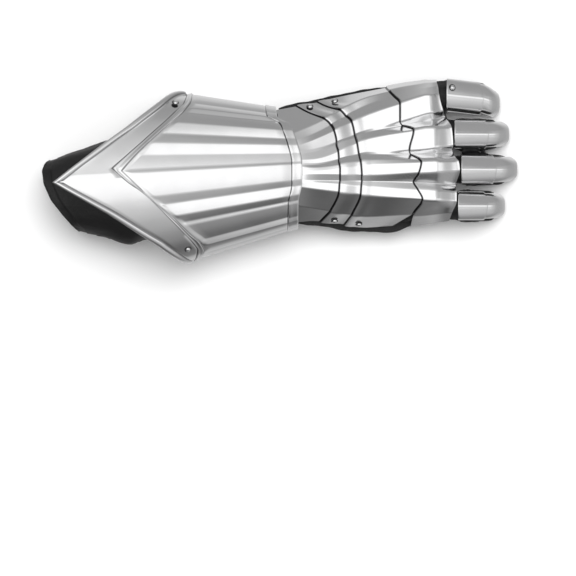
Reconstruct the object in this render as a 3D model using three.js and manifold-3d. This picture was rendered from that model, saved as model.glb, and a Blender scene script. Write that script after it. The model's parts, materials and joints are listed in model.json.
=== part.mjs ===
// Armoured gauntlet for the left hand, lying palm down.
// A fluted steel cuff, three ridged lames, a knuckle plate and articulated finger
// plates are mounted on a hollow black leather glove.
//
// Millimetres. +X runs to the fingertips, +Y to the little finger's side, +Z up.
// The origin is on the ground under the middle of the object.

import * as THREE from 'three';
import { mergeVertices } from 'three/addons/utils/BufferGeometryUtils.js';
import Module from 'manifold-3d';

const wasm = await Module();
wasm.setup();

// ---------------------------------------------------------------- dimensions

const STEEL = 1.2;            // cuff plate and band
const LAME = 1.0;             // lames, knuckle plate and finger plates
const LEATHER = 1.8;          // glove wall
const LAP = 1.6;              // lift of a plate where it lies over the next one
const GAP = 0.3;              // clearance between touching pieces

// Cuff: an oval cone. Half width, centre line, side edge height and crest height
// are straight functions of x.
const cuffHalfWidth = (x) => 53.3 - 0.232 * x;
const cuffCentre = (x) => 0.077 * x;
const cuffSide = (x) => 40.7 - 0.035 * x;
const cuffRise = (x) => 0.71 * cuffHalfWidth(x);

// Rear edge of the cuff plate: angle round the oval (0 = crest, + = little
// finger's side) and x. It runs from one corner over the point to the other.
const rearEdge = [
  { angle: -90, x: -79 },
  { angle: -72, x: -85.5 },
  { angle: -48, x: -102.5 },
  { angle: -35.4, x: -117.7 },
  { angle: -18, x: -145 },
  { angle: -8.7, x: -165 },
  { angle: -2.6, x: -180 },
  { angle: 2.5, x: -193 },
  { angle: 8.2, x: -180 },
  { angle: 15.1, x: -165 },
  { angle: 23.4, x: -149 },
  { angle: 36, x: -128 },
  { angle: 58, x: -104 },
  { angle: 77, x: -92 },
  { angle: 90, x: -85 },
];

// Front edge of the cuff plate, over the wrist.
const frontEdge = [
  { angle: -90, x: 15 },
  { angle: -34, x: 15.5 },
  { angle: -14, x: 18.5 },
  { angle: 6, x: 18.5 },
  { angle: 25, x: 15 },
  { angle: 38, x: 11.5 },
  { angle: 50, x: 7.5 },
  { angle: 57, x: -2.5 },
  { angle: 90, x: -4 },
];

// Cross-section of the flutes: height above the plain oval at each angle.
const flutes = [
  { angle: -90, lift: 0 },
  { angle: -75, lift: -0.8 },
  { angle: -59, lift: 0.9 },
  { angle: -53, lift: -1.8 },
  { angle: -35, lift: -0.6 },
  { angle: -32, lift: -1.4 },
  { angle: -25.5, lift: 0.9 },
  { angle: -16.5, lift: -1.3 },
  { angle: -10.5, lift: 0.6 },
  { angle: 5, lift: 0.6 },
  { angle: 7, lift: -0.4 },
  { angle: 16, lift: -1.3 },
  { angle: 24, lift: 0.4 },
  { angle: 31, lift: -1.2 },
  { angle: 39.5, lift: 1.2 },
  { angle: 50.5, lift: -0.6 },
  { angle: 55.5, lift: 0.8 },
  { angle: 64, lift: -0.8 },
  { angle: 77, lift: -0.2 },
  { angle: 90, lift: 0 },
];

// Rear side of the raised chevron strip that parts the border from the flutes.
const chevron = [
  { angle: -90, x: -72 },
  { angle: -72, x: -70 },
  { angle: -59, x: -68.5 },
  { angle: -47, x: -75 },
  { angle: -30, x: -90 },
  { angle: -11.4, x: -112.4 },
  { angle: 8.2, x: -142.4 },
  { angle: 28, x: -112.4 },
  { angle: 48.3, x: -90 },
  { angle: 58, x: -83 },
  { angle: 72, x: -79.5 },
  { angle: 90, x: -78.5 },
];

// Bead along the rear edge: distance from the edge and height.
const beadRows = [
  { from: 0, lift: 0.4 },
  { from: 1.2, lift: 1.5 },
  { from: 3.2, lift: 1.3 },
  { from: 4.4, lift: -0.2 },
];

// The chevron strip: distance from its rear side and height.
const stripRows = [
  { from: 0, lift: 0 },
  { from: 1.2, lift: 1.1 },
  { from: 4.2, lift: 1.1 },
  { from: 5.4, lift: 0 },
];

const BAND_REAR = -80;        // x of the band's two rims
const BAND_FRONT = -12;
const BAND_TUCK = 12;         // degrees that its ends reach up inside the cuff plate

// Lines along the back of the hand, from the little finger's edge to the index
// edge. y and z are given over the wrist (x 16), at the first lame (x 27), at the
// third (x 76) and on the knuckles (x 123). front is the x, y and z on the
// knuckle plate's front lip.
const HAND_X = [16, 27, 76, 123];
const handLines = [
  { name: 'edgeLittle', y: [55.5, 57.5, 68, 77.5], z: [40, 38, 27, 24], front: [133, 77.5, 28] },
  { name: 'wallLow', y: [34, 38.5, 63, 74.5], z: [62, 58, 43, 38], front: [133, 75.5, 39] },
  { name: 'wallHigh', y: [27, 31, 56.5, 70], z: [65, 60, 46, 46], front: [134, 72, 44] },
  { name: 'littleOuter', y: [21.5, 25.5, 48, 64], z: [67, 64, 53, 56], front: [135, 65, 47.5] },
  { name: 'littleInner', y: [16.5, 18, 35, 48.5], z: [68.5, 65, 55, 57], front: [138.5, 51, 46] },
  { name: 'littleDip', y: [14, 15.5, 32.5, 42], z: [69, 65.8, 56, 51.5], front: [140, 46, 41] },
  { name: 'ringOuter', y: [9, 9.5, 27, 36], z: [70.4, 68.4, 60.5, 62.5], front: [145.5, 37, 54] },
  { name: 'ringInner', y: [6.5, 6, 15.5, 18.5], z: [70.8, 68.8, 61.7, 65], front: [146.8, 21, 54.5] },
  { name: 'ringDip', y: [5, 4.5, 13, 14], z: [71, 69.3, 62.8, 60], front: [146.5, 15.5, 48] },
  { name: 'middleStep', y: [3.5, 2.5, 8.5, 9.5], z: [71.2, 71, 67, 66], front: [149, 11, 55] },
  { name: 'middleOuter', y: [1, -0.5, 4.5, 7], z: [71.6, 71.7, 68, 68.5], front: [151.5, 8, 57] },
  { name: 'middleInner', y: [-3, -3, -3.5, -1.5], z: [71.6, 72, 68, 68.5], front: [152.5, 0, 57] },
  { name: 'middleDip', y: [-8, -8.5, -9, -10], z: [71.2, 70, 64.8, 60.5], front: [149, -13, 48] },
  { name: 'indexOuter', y: [-10.5, -10.5, -14, -16.5], z: [70.8, 70.4, 66.3, 64], front: [149.8, -18, 53] },
  { name: 'indexInner', y: [-14, -15.5, -21, -24.5], z: [70, 69.6, 65.8, 65], front: [149.8, -26, 54] },
  { name: 'wallIndex', y: [-30, -32, -38.5, -37], z: [59, 55.5, 50, 46], front: [146, -36, 48.5] },
  { name: 'edgeIndex', y: [-44, -43, -48, -45], z: [41, 40, 29, 29], front: [143.5, -43, 36] },
];

// Rear edges of the plates along those lines (x), in the same order.
const REAR_1 = [-8, -4, 4, 6, 6, 6, 6, 6, 6, 6, 6, 6, 6, 6, 6, 8, 10];
const REAR_2 = [14, 38, 43, 46, 48, 48, 49.5, 50, 50, 50.5, 51, 51, 51, 50.5, 50, 42.5, 34];
const REAR_3 = [32, 51.5, 56, 61, 63.5, 64, 65.5, 67, 67.5, 68.5, 69, 69.5, 69.5, 69, 68.5, 61, 54.5];
const REAR_4 = [90, 93, 97, 102, 102, 104, 113.5, 110, 111, 118, 120, 118, 113.5, 117, 121, 113, 111];
// Front edge of the third lame, under the knuckle plate; its index corner is cut off.
const FRONT_3 = [95, 99, 104, 109, 110, 112, 121, 118, 119, 125, 127, 125, 121, 124, 128, 112, 95.5];

// Fingers: the crest line (x, y, z) at the plate's rear, at its front and at the
// fingertip. half is the plate's half width.
const fingers = [
  { name: 'little', half: 14, x: [141.5, 173, 187], y: [64.5, 61.5, 57.5], z: [46.5, 31.5, 11] },
  { name: 'ring', half: 12.2, x: [148.2, 177.5, 195], y: [31, 31, 31.5], z: [53.5, 36, 11] },
  { name: 'middle', half: 12.2, x: [154, 184, 202], y: [1, 1, 1.5], z: [56, 37, 11] },
  { name: 'index', half: 12.2, x: [151.2, 176.5, 191.5], y: [-30, -30, -29.5], z: [53, 36.5, 11] },
];
// Half section of a finger plate: part of the half width, and drop below the crest.
const plateSection = [
  { out: 0, drop: 0 },
  { out: 0.5, drop: 1.6 },
  { out: 0.82, drop: 4.4 },
  { out: 1, drop: 9.5 },
];
// Half section of a glove finger: distance out, and drop below the plate's crest.
const fingerSection = [
  { out: 0, drop: 3.8 },
  { out: 6, drop: 5.4 },
  { out: 9.4, drop: 9.4 },
  { out: 10.4, drop: 12.6 },
  { out: 14.3, drop: 16 },
  { out: 14.3, drop: 20 },
  { out: 10.5, drop: 25.5 },
  { out: 0, drop: 27.3 },
];

// Glove, from the mouth to the finger roots: widest points, their height, and the
// top and bottom of the section.
const gloveSections = [
  { x: -215, little: 2, thumb: -46, side: 40, top: 70, bottom: 12 },
  { x: -190, little: 9, thumb: -47, side: 40, top: 72, bottom: 10 },
  { x: -172, little: 15.5, thumb: -50, side: 40, top: 73, bottom: 8 },
  { x: -150, little: 23, thumb: -54, side: 40, top: 74, bottom: 6 },
  { x: -128, little: 28.5, thumb: -61, side: 40, top: 73, bottom: 4 },
  { x: -116, little: 30.5, thumb: -55.8, side: 40, top: 73, bottom: 4 },
  { x: -90, little: 34, thumb: -54, side: 38, top: 71, bottom: 3 },
  { x: -50, little: 39, thumb: -48, side: 36, top: 68, bottom: 3 },
  { x: -12, little: 46, thumb: -44, side: 34, top: 64, bottom: 4 },
  { x: 8, little: 50, thumb: -43.5, side: 33, top: 62, bottom: 6 },
  { x: 27, little: 55, thumb: -42, side: 31, top: 61, bottom: 10 },
  { x: 50, little: 60, thumb: -44, side: 29.5, top: 59, bottom: 16 },
  { x: 76, little: 64, thumb: -45, side: 34, top: 57, bottom: 24.5 },
  { x: 92, little: 66, thumb: -45, side: 36, top: 55, bottom: 28.5 },
  { x: 108, little: 68.5, thumb: -44, side: 36, top: 52.5, bottom: 28.5 },
  { x: 124, little: 71, thumb: -42, side: 35, top: 49, bottom: 27 },
  { x: 131, little: 71, thumb: -41, side: 34, top: 47, bottom: 26 },
  { x: 137, little: 70, thumb: -39, side: 33, top: 45, bottom: 25 },
];
// Plane of the slanted mouth, as two plan points.
const MOUTH = [[-200.4, 2], [-168.4, -50]];

// Seam strips of doubled leather that stand out beyond the lames' side edges: how far
// out (y) they reach along the hand.
const littleStrip = [
  { x: -1.6, y: 53.4 }, { x: 14, y: 57.6 }, { x: 27, y: 60 }, { x: 50, y: 65 }, { x: 66, y: 68.4 }, { x: 76, y: 69.8 }, { x: 118, y: 75.5 },
];
const indexStrip = [
  { x: 12, y: -45.2 }, { x: 34, y: -47.3 }, { x: 56, y: -51.2 }, { x: 76, y: -52.3 }, { x: 94, y: -52.6 },
  { x: 112, y: -47.2 }, { x: 118, y: -46.2 },
];

// Thumb: it lies under the palm with its plates facing the ground.
const THUMB_ROOT = [60, -38, 17.5];
const THUMB_END = [130, 8, 12.8];
const THUMB_HALF = 11;        // glove thumb's radius

// ---------------------------------------------------------------- materials

const steel = new THREE.MeshStandardMaterial({ color: 0xcfd0d1, roughness: 0.22, metalness: 1 });
const rivetSteel = new THREE.MeshStandardMaterial({ color: 0xd8d8d8, roughness: 0.2, metalness: 1 });
const leather = new THREE.MeshStandardMaterial({ color: 0x141414, roughness: 0.55, metalness: 0 });

// ---------------------------------------------------------------- helpers

const rad = THREE.MathUtils.degToRad;
const vec = (x, y, z) => new THREE.Vector3(x, y, z);
const mix = (a, b, t) => a + (b - a) * t;

// Straight interpolation in a table of two named columns.
function lookup(table, key, value, at) {
  if (at <= table[0][key]) return table[0][value];
  for (let i = 1; i < table.length; i += 1) {
    const a = table[i - 1];
    const b = table[i];
    if (at <= b[key]) return mix(a[value], b[value], (at - a[key]) / (b[key] - a[key]));
  }
  return table[table.length - 1][value];
}

// Normals of a grid of points, pointing to the side that row x column faces.
function gridNormals(grid) {
  const rows = grid.length;
  const cols = grid[0].length;
  return grid.map((row, i) => row.map((_, j) => {
    const along = grid[Math.min(i + 1, rows - 1)][j].clone().sub(grid[Math.max(i - 1, 0)][j]);
    const across = row[Math.min(j + 1, cols - 1)].clone().sub(row[Math.max(j - 1, 0)]);
    return along.cross(across).normalize();
  }));
}

function geometryFrom(points, faces) {
  const geometry = new THREE.BufferGeometry();
  const flat = new Float32Array(points.length * 3);
  points.forEach((p, i) => p.toArray(flat, i * 3));
  geometry.setAttribute('position', new THREE.BufferAttribute(flat, 3));
  geometry.setIndex(faces.flat());
  geometry.computeVertexNormals();
  return geometry;
}

// Sheet of even thickness under a grid of outer points, closed round its edge.
function sheet(grid, thickness) {
  const rows = grid.length;
  const cols = grid[0].length;
  const normals = gridNormals(grid);
  const outer = grid.flat();
  const inner = grid.flatMap((row, i) => row.map((p, j) => (
    p.clone().addScaledVector(normals[i][j], -thickness))));
  const faces = [];
  const top = (i, j) => i * cols + j;
  const low = (i, j) => rows * cols + i * cols + j;
  for (let i = 0; i < rows - 1; i += 1) {
    for (let j = 0; j < cols - 1; j += 1) {
      faces.push([top(i, j), top(i + 1, j), top(i + 1, j + 1)]);
      faces.push([top(i, j), top(i + 1, j + 1), top(i, j + 1)]);
      faces.push([low(i, j), low(i + 1, j + 1), low(i + 1, j)]);
      faces.push([low(i, j), low(i, j + 1), low(i + 1, j + 1)]);
    }
  }
  const rim = (a, b, c, d) => faces.push([a, b, c], [a, c, d]);
  for (let i = 0; i < rows - 1; i += 1) {
    rim(top(i + 1, 0), top(i, 0), low(i, 0), low(i + 1, 0));
    rim(top(i, cols - 1), top(i + 1, cols - 1), low(i + 1, cols - 1), low(i, cols - 1));
  }
  for (let j = 0; j < cols - 1; j += 1) {
    rim(top(0, j), top(0, j + 1), low(0, j + 1), low(0, j));
    rim(top(rows - 1, j + 1), top(rows - 1, j), low(rows - 1, j), low(rows - 1, j + 1));
  }
  return geometryFrom([...outer, ...inner], faces);
}

// Solid through closed rings of equal point count, with flat fans at both ends.
function loft(rings) {
  const n = rings[0].length;
  const points = rings.flat();
  const faces = [];
  for (let i = 0; i < rings.length - 1; i += 1) {
    for (let j = 0; j < n; j += 1) {
      const a = i * n + j;
      const b = i * n + ((j + 1) % n);
      faces.push([a, b, b + n], [a, b + n, a + n]);
    }
  }
  [0, rings.length - 1].forEach((i) => {
    const centre = rings[i].reduce((sum, p) => sum.add(p), vec(0, 0, 0)).divideScalar(n);
    points.push(centre);
    const c = points.length - 1;
    for (let j = 0; j < n; j += 1) {
      const a = i * n + j;
      const b = i * n + ((j + 1) % n);
      faces.push(i === 0 ? [c, b, a] : [c, a, b]);
    }
  });
  return geometryFrom(points, faces);
}

function toSolid(geometry) {
  const bare = geometry.index ? geometry.clone() : geometry;
  bare.deleteAttribute('normal');
  bare.deleteAttribute('uv');
  const merged = mergeVertices(bare, 1e-4);
  return new wasm.Manifold(new wasm.Mesh({
    numProp: 3,
    vertProperties: new Float32Array(merged.attributes.position.array),
    triVerts: new Uint32Array(merged.index.array),
  }));
}

function toGeometry(solid) {
  const mesh = solid.getMesh();
  const geometry = new THREE.BufferGeometry();
  geometry.setAttribute('position', new THREE.BufferAttribute(new Float32Array(mesh.vertProperties), 3));
  geometry.setIndex(new THREE.BufferAttribute(new Uint32Array(mesh.triVerts), 1));
  geometry.computeVertexNormals();
  return geometry;
}

// Box solid between two corners.
function block(low, high) {
  const box = new THREE.BoxGeometry(high[0] - low[0], high[1] - low[1], high[2] - low[2]);
  box.translate((low[0] + high[0]) / 2, (low[1] + high[1]) / 2, (low[2] + high[2]) / 2);
  return toSolid(box);
}

const gauntlet = new THREE.Group();

function add(name, geometry, material) {
  const mesh = new THREE.Mesh(geometry, material);
  mesh.name = name;
  gauntlet.add(mesh);
  return mesh;
}

// ---------------------------------------------------------------- cuff plate

function cuffPoint(x, angle, lift) {
  const a = cuffHalfWidth(x);
  const h = cuffRise(x);
  const t = rad(angle);
  const out = vec(0, Math.sin(t) / a, Math.cos(t) / h).normalize();
  return vec(x, cuffCentre(x) + a * Math.sin(t), cuffSide(x) + h * Math.cos(t)).addScaledVector(out, lift);
}

// Length along x for a unit square to the slanting border, less towards the corners.
function slant(angle) {
  const side = Math.max(0, Math.abs(angle) - 45) / 45;
  return 1.45 - 0.45 * side;
}

function cuffPlate() {
  const angles = [...new Set([...flutes.map((f) => f.angle), -45, -2.6, 2.5, 8.2, 46])].sort((a, b) => a - b);
  const rows = [];
  beadRows.forEach(({ from, lift }) => {
    rows.push(angles.map((angle) => (
      cuffPoint(lookup(rearEdge, 'angle', 'x', angle) + from * slant(angle), angle, lift))));
  });
  stripRows.forEach(({ from, lift }) => {
    rows.push(angles.map((angle) => (
      cuffPoint(lookup(chevron, 'angle', 'x', angle) + from * slant(angle), angle, lift))));
  });
  const start = (angle) => lookup(chevron, 'angle', 'x', angle) + 5.4 * slant(angle);
  const end = (angle) => lookup(frontEdge, 'angle', 'x', angle);
  const body = (angle, along, part, extra) => {
    const flute = lookup(flutes, 'angle', 'lift', angle);
    return cuffPoint(along, angle, flute * part + extra);
  };
  rows.push(angles.map((angle) => body(angle, start(angle) + 8, 1, 0)));
  [0.35, 0.7].forEach((t) => {
    rows.push(angles.map((angle) => body(angle, mix(start(angle) + 8, end(angle) - 9, t), 1, 0)));
  });
  // Wrist collar: a narrow flatter ring that steps up from the flutes.
  rows.push(angles.map((angle) => body(angle, end(angle) - 9, 0.8, 0)));
  rows.push(angles.map((angle) => body(angle, end(angle) - 8.2, 0.5, 0.7)));
  rows.push(angles.map((angle) => body(angle, end(angle), 0.5, 0.7)));
  return sheet(rows, STEEL);
}

add('cuff_plate', cuffPlate(), steel);

// ---------------------------------------------------------------- cuff band

function cuffBand() {
  const rim = [
    { x: BAND_REAR, lift: 1.1 },
    { x: BAND_REAR + 2.5, lift: 1.1 },
    { x: BAND_REAR + 3.5, lift: 0 },
    { x: (BAND_REAR + BAND_FRONT) / 2, lift: 0 },
    { x: BAND_FRONT - 3.5, lift: 0 },
    { x: BAND_FRONT - 2.5, lift: 1.1 },
    { x: BAND_FRONT, lift: 1.1 },
  ];
  const grid = rim.map(({ x, lift }) => {
    const row = [];
    const steps = 20;
    for (let j = 0; j <= steps; j += 1) {
      const angle = mix(90 + BAND_TUCK, -90 - BAND_TUCK, j / steps);
      const t = rad(angle);
      const tucked = Math.abs(angle) > 84;
      const a = cuffHalfWidth(x) - STEEL - 1.2 - GAP + (tucked ? 0 : lift);
      const depth = cuffSide(x) + (tucked ? 0 : lift);
      row.push(vec(x, cuffCentre(x) + a * Math.sin(t), Math.max(0, cuffSide(x) - depth * Math.cos(t))));
    }
    return row;
  });
  return sheet(grid, STEEL);
}

add('cuff_band', cuffBand(), steel);

// ---------------------------------------------------------------- hand plates

// Point of the hand's outer surface on line i at x, raised by lift.
function handPoint(i, x, lift) {
  const line = handLines[i];
  let y = line.y[0];
  let z = line.z[0];
  const last = HAND_X.length - 1;
  if (x >= HAND_X[last]) {
    const [fx, fy, fz] = line.front;
    const u = Math.min(1, (x - HAND_X[last]) / (fx - HAND_X[last]));
    const s = Math.max(0, (u - 0.3) / 0.7);
    y = mix(line.y[last], fy, u);
    z = mix(line.z[last], fz, s * s * (3 - 2 * s));
  } else {
    for (let k = 1; k <= last; k += 1) {
      if (x <= HAND_X[k] || k === last) {
        const t = Math.max(-2.3, (x - HAND_X[k - 1]) / (HAND_X[k] - HAND_X[k - 1]));
        y = mix(line.y[k - 1], line.y[k], t);
        z = mix(line.z[k - 1], line.z[k], t);
        break;
      }
    }
  }
  return vec(x, y, z + lift);
}

// Plate between two edges given on the lines; rows are placed at x, and raised.
function handPlate(rows) {
  const grid = rows.map((row) => handLines.map((_, k) => {
    const i = handLines.length - 1 - k;
    return handPoint(i, row.x(i), 0);
  }));
  const normals = gridNormals(grid);
  const lifted = grid.map((row, r) => row.map((p, j) => p.clone().addScaledVector(normals[r][j], rows[r].lift)));
  return sheet(lifted, LAME);
}

add('lame_1', handPlate([
  { x: (i) => REAR_1[i], lift: 0 },
  { x: (i) => mix(REAR_1[i], REAR_2[i], 0.45), lift: 0 },
  { x: (i) => REAR_2[i] - 1, lift: 0 },
  { x: (i) => REAR_2[i] + 7, lift: 0 },
]), steel);

add('lame_2', handPlate([
  { x: (i) => REAR_2[i], lift: LAP },
  { x: (i) => REAR_2[i] + 8, lift: LAP },
  { x: (i) => REAR_3[i] - 1, lift: 0 },
  { x: (i) => REAR_3[i] + 7, lift: 0 },
]), steel);

add('lame_3', handPlate([
  { x: (i) => REAR_3[i], lift: LAP },
  { x: (i) => REAR_3[i] + 8, lift: LAP },
  { x: (i) => Math.min(REAR_4[i] - 1, FRONT_3[i] - 3), lift: 0 },
  { x: (i) => FRONT_3[i], lift: 0 },
]), steel);

const lip = (i) => handLines[i].front[0];
const lapEnd = (i) => Math.max(FRONT_3[i] + 1.2, REAR_4[i] + 4);
add('knuckle_plate', handPlate([
  { x: (i) => REAR_4[i], lift: LAP },
  { x: (i) => lapEnd(i), lift: LAP },
  { x: (i) => mix(lapEnd(i), lip(i), 0.35), lift: 0.8 },
  { x: (i) => mix(lapEnd(i), lip(i), 0.6), lift: 0.4 },
  { x: (i) => mix(lapEnd(i), lip(i), 0.8), lift: 0 },
  { x: (i) => lip(i), lift: 0 },
]), steel);

// ---------------------------------------------------------------- finger plates

// Crest of a finger at x: straight along the plate, then curving down to the tip.
function crest(finger, x) {
  const [x0, x1, x2] = finger.x;
  const [z0, z1, z2] = finger.z;
  const [y0, y1, y2] = finger.y;
  const slope = (z1 - z0) / (x1 - x0);
  if (x < x1) return vec(x, mix(y0, y1, (x - x0) / (x1 - x0)), z0 + slope * (x - x0));
  const u = (x - x1) / (x2 - x1);
  const fall = z1 + slope * (x2 - x1) - z2;
  return vec(x, mix(y1, y2, u), z1 + slope * (x - x1) - fall * u * u * u);
}

const plateAcross = [
  ...plateSection.slice(1).reverse().map(({ out, drop }) => ({ out: -out, drop })),
  ...plateSection,
];

function fingerPlate(finger) {
  const [rear, front] = finger.x;
  const grid = [0, 0.33, 0.67, 1].map((t) => {
    const c = crest(finger, mix(rear, front, t));
    return plateAcross.map(({ out, drop }) => (
      vec(c.x - 3 * out * out * t, c.y + out * finger.half, c.z - drop)));
  });
  return sheet(grid, LAME);
}

// The tip plate comes out from under the longer plate and rounds off downwards.
// t runs from 0 at its rear to 1 at its front.
function tipPoint(finger, { out, drop }, t) {
  const [, front, end] = finger.x;
  const c = crest(finger, mix(front - 8, end, t));
  return vec(
    c.x - 6 * out ** 4 * t * t,
    c.y + out * finger.half * (0.9 - 0.04 * t * t),
    Math.max(2.4, c.z - LAP - 0.4 * (1 - t) - drop * 0.95),
  );
}

function fingerTip(finger) {
  return sheet([0, 0.42, 0.6, 0.75, 0.88, 1].map((t) => (
    plateAcross.map((place) => tipPoint(finger, place, t)))), LAME);
}

fingers.forEach((finger) => {
  add(`${finger.name}_plate`, fingerPlate(finger), steel);
  add(`${finger.name}_tip`, fingerTip(finger), steel);
});

// ---------------------------------------------------------------- thumb plates

const thumbRoot = vec(...THUMB_ROOT);
const thumbEnd = vec(...THUMB_END);
const thumbLength = thumbEnd.distanceTo(thumbRoot);
const thumbAxis = thumbEnd.clone().sub(thumbRoot).normalize();
const thumbSide = vec(0, 0, 1).cross(thumbAxis).normalize();
const thumbDown = thumbSide.clone().cross(thumbAxis);

// Points round the thumb's axis. Angles are from straight down.
function thumbArc(t, radius, angles) {
  const centre = thumbRoot.clone().lerp(thumbEnd, t);
  return angles.map((angle) => centre.clone()
    .addScaledVector(thumbDown, radius * Math.cos(rad(angle)))
    .addScaledVector(thumbSide, radius * Math.sin(rad(angle))));
}

function thumbShell(rows) {
  const steps = [1, 0.75, 0.5, 0.25, 0, -0.25, -0.5, -0.75, -1];
  return sheet(rows.map(({ t, radius, reach }) => (
    thumbArc(t, radius, steps.map((k) => k * reach)))), LAME);
}

const underThumb = THUMB_HALF + GAP + LAME;
add('thumb_plate', thumbShell([
  { t: 0.06, radius: underThumb, reach: 44 },
  { t: 0.2, radius: underThumb + 0.4, reach: 66 },
  { t: 0.42, radius: underThumb + 0.4, reach: 68 },
  { t: 0.64, radius: underThumb, reach: 58 },
]), steel);

add('thumb_tip', thumbShell([
  { t: 0.57, radius: underThumb + LAP, reach: 62 },
  { t: 0.67, radius: underThumb + LAP, reach: 62 },
  { t: 0.8, radius: underThumb + 0.3, reach: 62 },
  { t: 0.93, radius: underThumb, reach: 58 },
  { t: 1.04, radius: underThumb - 1.2, reach: 44 },
]), steel);

// ---------------------------------------------------------------- rivets

// Domed head of a rivet, standing on a base point along a direction.
function rivet(name, base, out) {
  const profile = [[0, 0], [3, 0], [3, 0.4], [2.45, 1.2], [1.3, 1.75], [0, 1.9]];
  const head = new THREE.LatheGeometry(profile.map(([r, h]) => new THREE.Vector2(r, h)), 12);
  head.deleteAttribute('normal');
  head.deleteAttribute('uv');
  const shape = mergeVertices(head, 1e-4);
  shape.applyQuaternion(new THREE.Quaternion().setFromUnitVectors(vec(0, 1, 0), out));
  shape.translate(base.x, base.y, base.z);
  shape.computeVertexNormals();
  add(name, shape, rivetSteel);
}

// Rivet on the first face of a plate met on the way from a point in a direction.
function rivetOn(name, plate, from, direction) {
  const mesh = gauntlet.getObjectByName(plate);
  const [hit] = new THREE.Raycaster(from, direction).intersectObject(mesh);
  const out = hit.face.normal.clone();
  rivet(name, hit.point.clone().addScaledVector(out, GAP), out);
}

const down = vec(0, 0, -1);
rivetOn('rivet_cuff_little', 'cuff_plate', vec(-89.3, 57.4, 200), down);
rivetOn('rivet_cuff_index', 'cuff_plate', vec(-78.6, -66.9, 200), down);
rivetOn('rivet_band', 'cuff_band', vec(-63, -200, 32), vec(0, 1, 0));
rivetOn('rivet_lame_2_little', 'lame_2', vec(25, 54.4, 200), down);
rivetOn('rivet_lame_2_index', 'lame_2', vec(45.9, -42.6, 200), down);
rivetOn('rivet_lame_3_little', 'lame_3', vec(46.3, 59, 200), down);
rivetOn('rivet_lame_3_index', 'lame_3', vec(66.7, -45.4, 200), down);
rivetOn('rivet_little_plate', 'little_plate', vec(146.1, 70.6, 200), down);

// The thumb's rivets sit on the side that faces the fingers.
[
  { name: 'rivet_thumb_plate', t: 0.5, radius: underThumb + 0.4 },
  { name: 'rivet_thumb_tip', t: 0.78, radius: underThumb + 0.7 },
].forEach(({ name, t, radius }) => {
  const [base] = thumbArc(t, radius + GAP, [44]);
  const [above] = thumbArc(t, radius + 1, [44]);
  rivet(name, base, above.sub(base).normalize());
});

// ---------------------------------------------------------------- glove

const RING = 22;
const ROOM = LAME + GAP + 1.3;  // depth of the leather below the plates' outer faces

// How much of the way from a centre to a point lies clear under the plates. Each line
// is a plate's section, as points; the leather keeps to the given depth below it.
function clearPart(lines, centre, target, depth) {
  const way = target.clone().sub(centre);
  let part = 1;
  lines.forEach((line) => {
    const path = [];
    for (let i = 1; i < line.length; i += 1) {
      const along = line[i].clone().sub(line[i - 1]).setX(0).normalize();
      const inward = vec(0, -along.z, along.y);
      if (inward.dot(centre.clone().sub(line[i])) < 0) inward.negate();
      const a = line[i - 1].clone().addScaledVector(inward, depth);
      const b = line[i].clone().addScaledVector(inward, depth);
      if (i === 1) a.addScaledVector(along, -3);
      if (i === line.length - 1) b.addScaledVector(along, 3);
      path.push(a, b);
    }
    for (let i = 1; i < path.length; i += 1) {
      const edge = path[i].clone().sub(path[i - 1]);
      const from = path[i - 1].clone().sub(centre);
      const across = way.y * edge.z - way.z * edge.y;
      if (Math.abs(across) > 1e-9) {
        const onWay = (from.y * edge.z - from.z * edge.y) / across;
        const onEdge = (from.y * way.z - from.z * way.y) / across;
        if (onEdge >= 0 && onEdge <= 1 && onWay > 0) part = Math.min(part, onWay);
      }
    }
  });
  return part;
}

// Pulls a ring in towards its centre until it lies under the plates.
function fitUnder(ring, centre, lines, depth) {
  const count = ring.length;
  return ring.map((p, k) => {
    const before = ring[(k + count - 1) % count];
    const after = ring[(k + 1) % count];
    const spots = [p, p.clone().lerp(before, 0.25), p.clone().lerp(before, 0.5),
      p.clone().lerp(after, 0.25), p.clone().lerp(after, 0.5)];
    const part = Math.min(...spots.map((spot) => clearPart(lines, centre, spot, depth)));
    return centre.clone().lerp(p, part);
  });
}

// Section of the lames and the knuckle plate at x.
function handSection(x) {
  return handLines.map((line, i) => ({ i, end: line.front[0] }))
    .filter(({ end }) => x < end + 1.5)
    .map(({ i }) => handPoint(i, x, 0));
}

// Sections of a finger's two plates at x.
function fingerSections(finger, x) {
  const [rear, front] = finger.x;
  const lines = [];
  if (x > rear - 2 && x < front + 2) {
    const t = (x - rear) / (front - rear);
    lines.push(plateAcross.map(({ out, drop }) => {
      const c = crest(finger, x + 3 * out * out * t);
      return vec(x, c.y + out * finger.half, c.z - drop);
    }));
  }
  if (x > front - 10) {
    lines.push(plateAcross.map((place) => {
      let t = 0;
      while (t < 1 && tipPoint(finger, place, t).x < x) t += 0.02;
      return tipPoint(finger, place, t).setX(x);
    }));
  }
  return lines;
}

// Oval ring of the glove's body, inset all round for the inside of its wall.
function gloveRing({ x, little, thumb, side, top, bottom }, inset) {
  const half = (little - thumb) / 2 - inset;
  const centre = vec(x, (little + thumb) / 2, side);
  const bulge = (value) => Math.sign(value) * Math.abs(value) ** 0.85;
  const ring = [];
  for (let k = 0; k < RING; k += 1) {
    const t = (k / RING) * Math.PI * 2;
    const tall = Math.sin(t) > 0 ? top - side - inset : side - bottom - inset;
    ring.push(vec(x, centre.y + half * bulge(Math.cos(t)), side + tall * bulge(Math.sin(t))));
  }
  return x > -20 ? fitUnder(ring, centre, [handSection(x)], ROOM + inset) : ring;
}

function gloveBody(inset) {
  const rings = gloveSections.map((section) => gloveRing(section, inset));
  const end = gloveSections[gloveSections.length - 1];
  rings.push(gloveRing({
    x: end.x + 3.8 - inset,
    little: end.little - 4,
    thumb: end.thumb + 4,
    side: end.side,
    top: end.top - 4,
    bottom: end.bottom + 3,
  }, inset));
  return toSolid(loft(rings));
}

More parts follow.
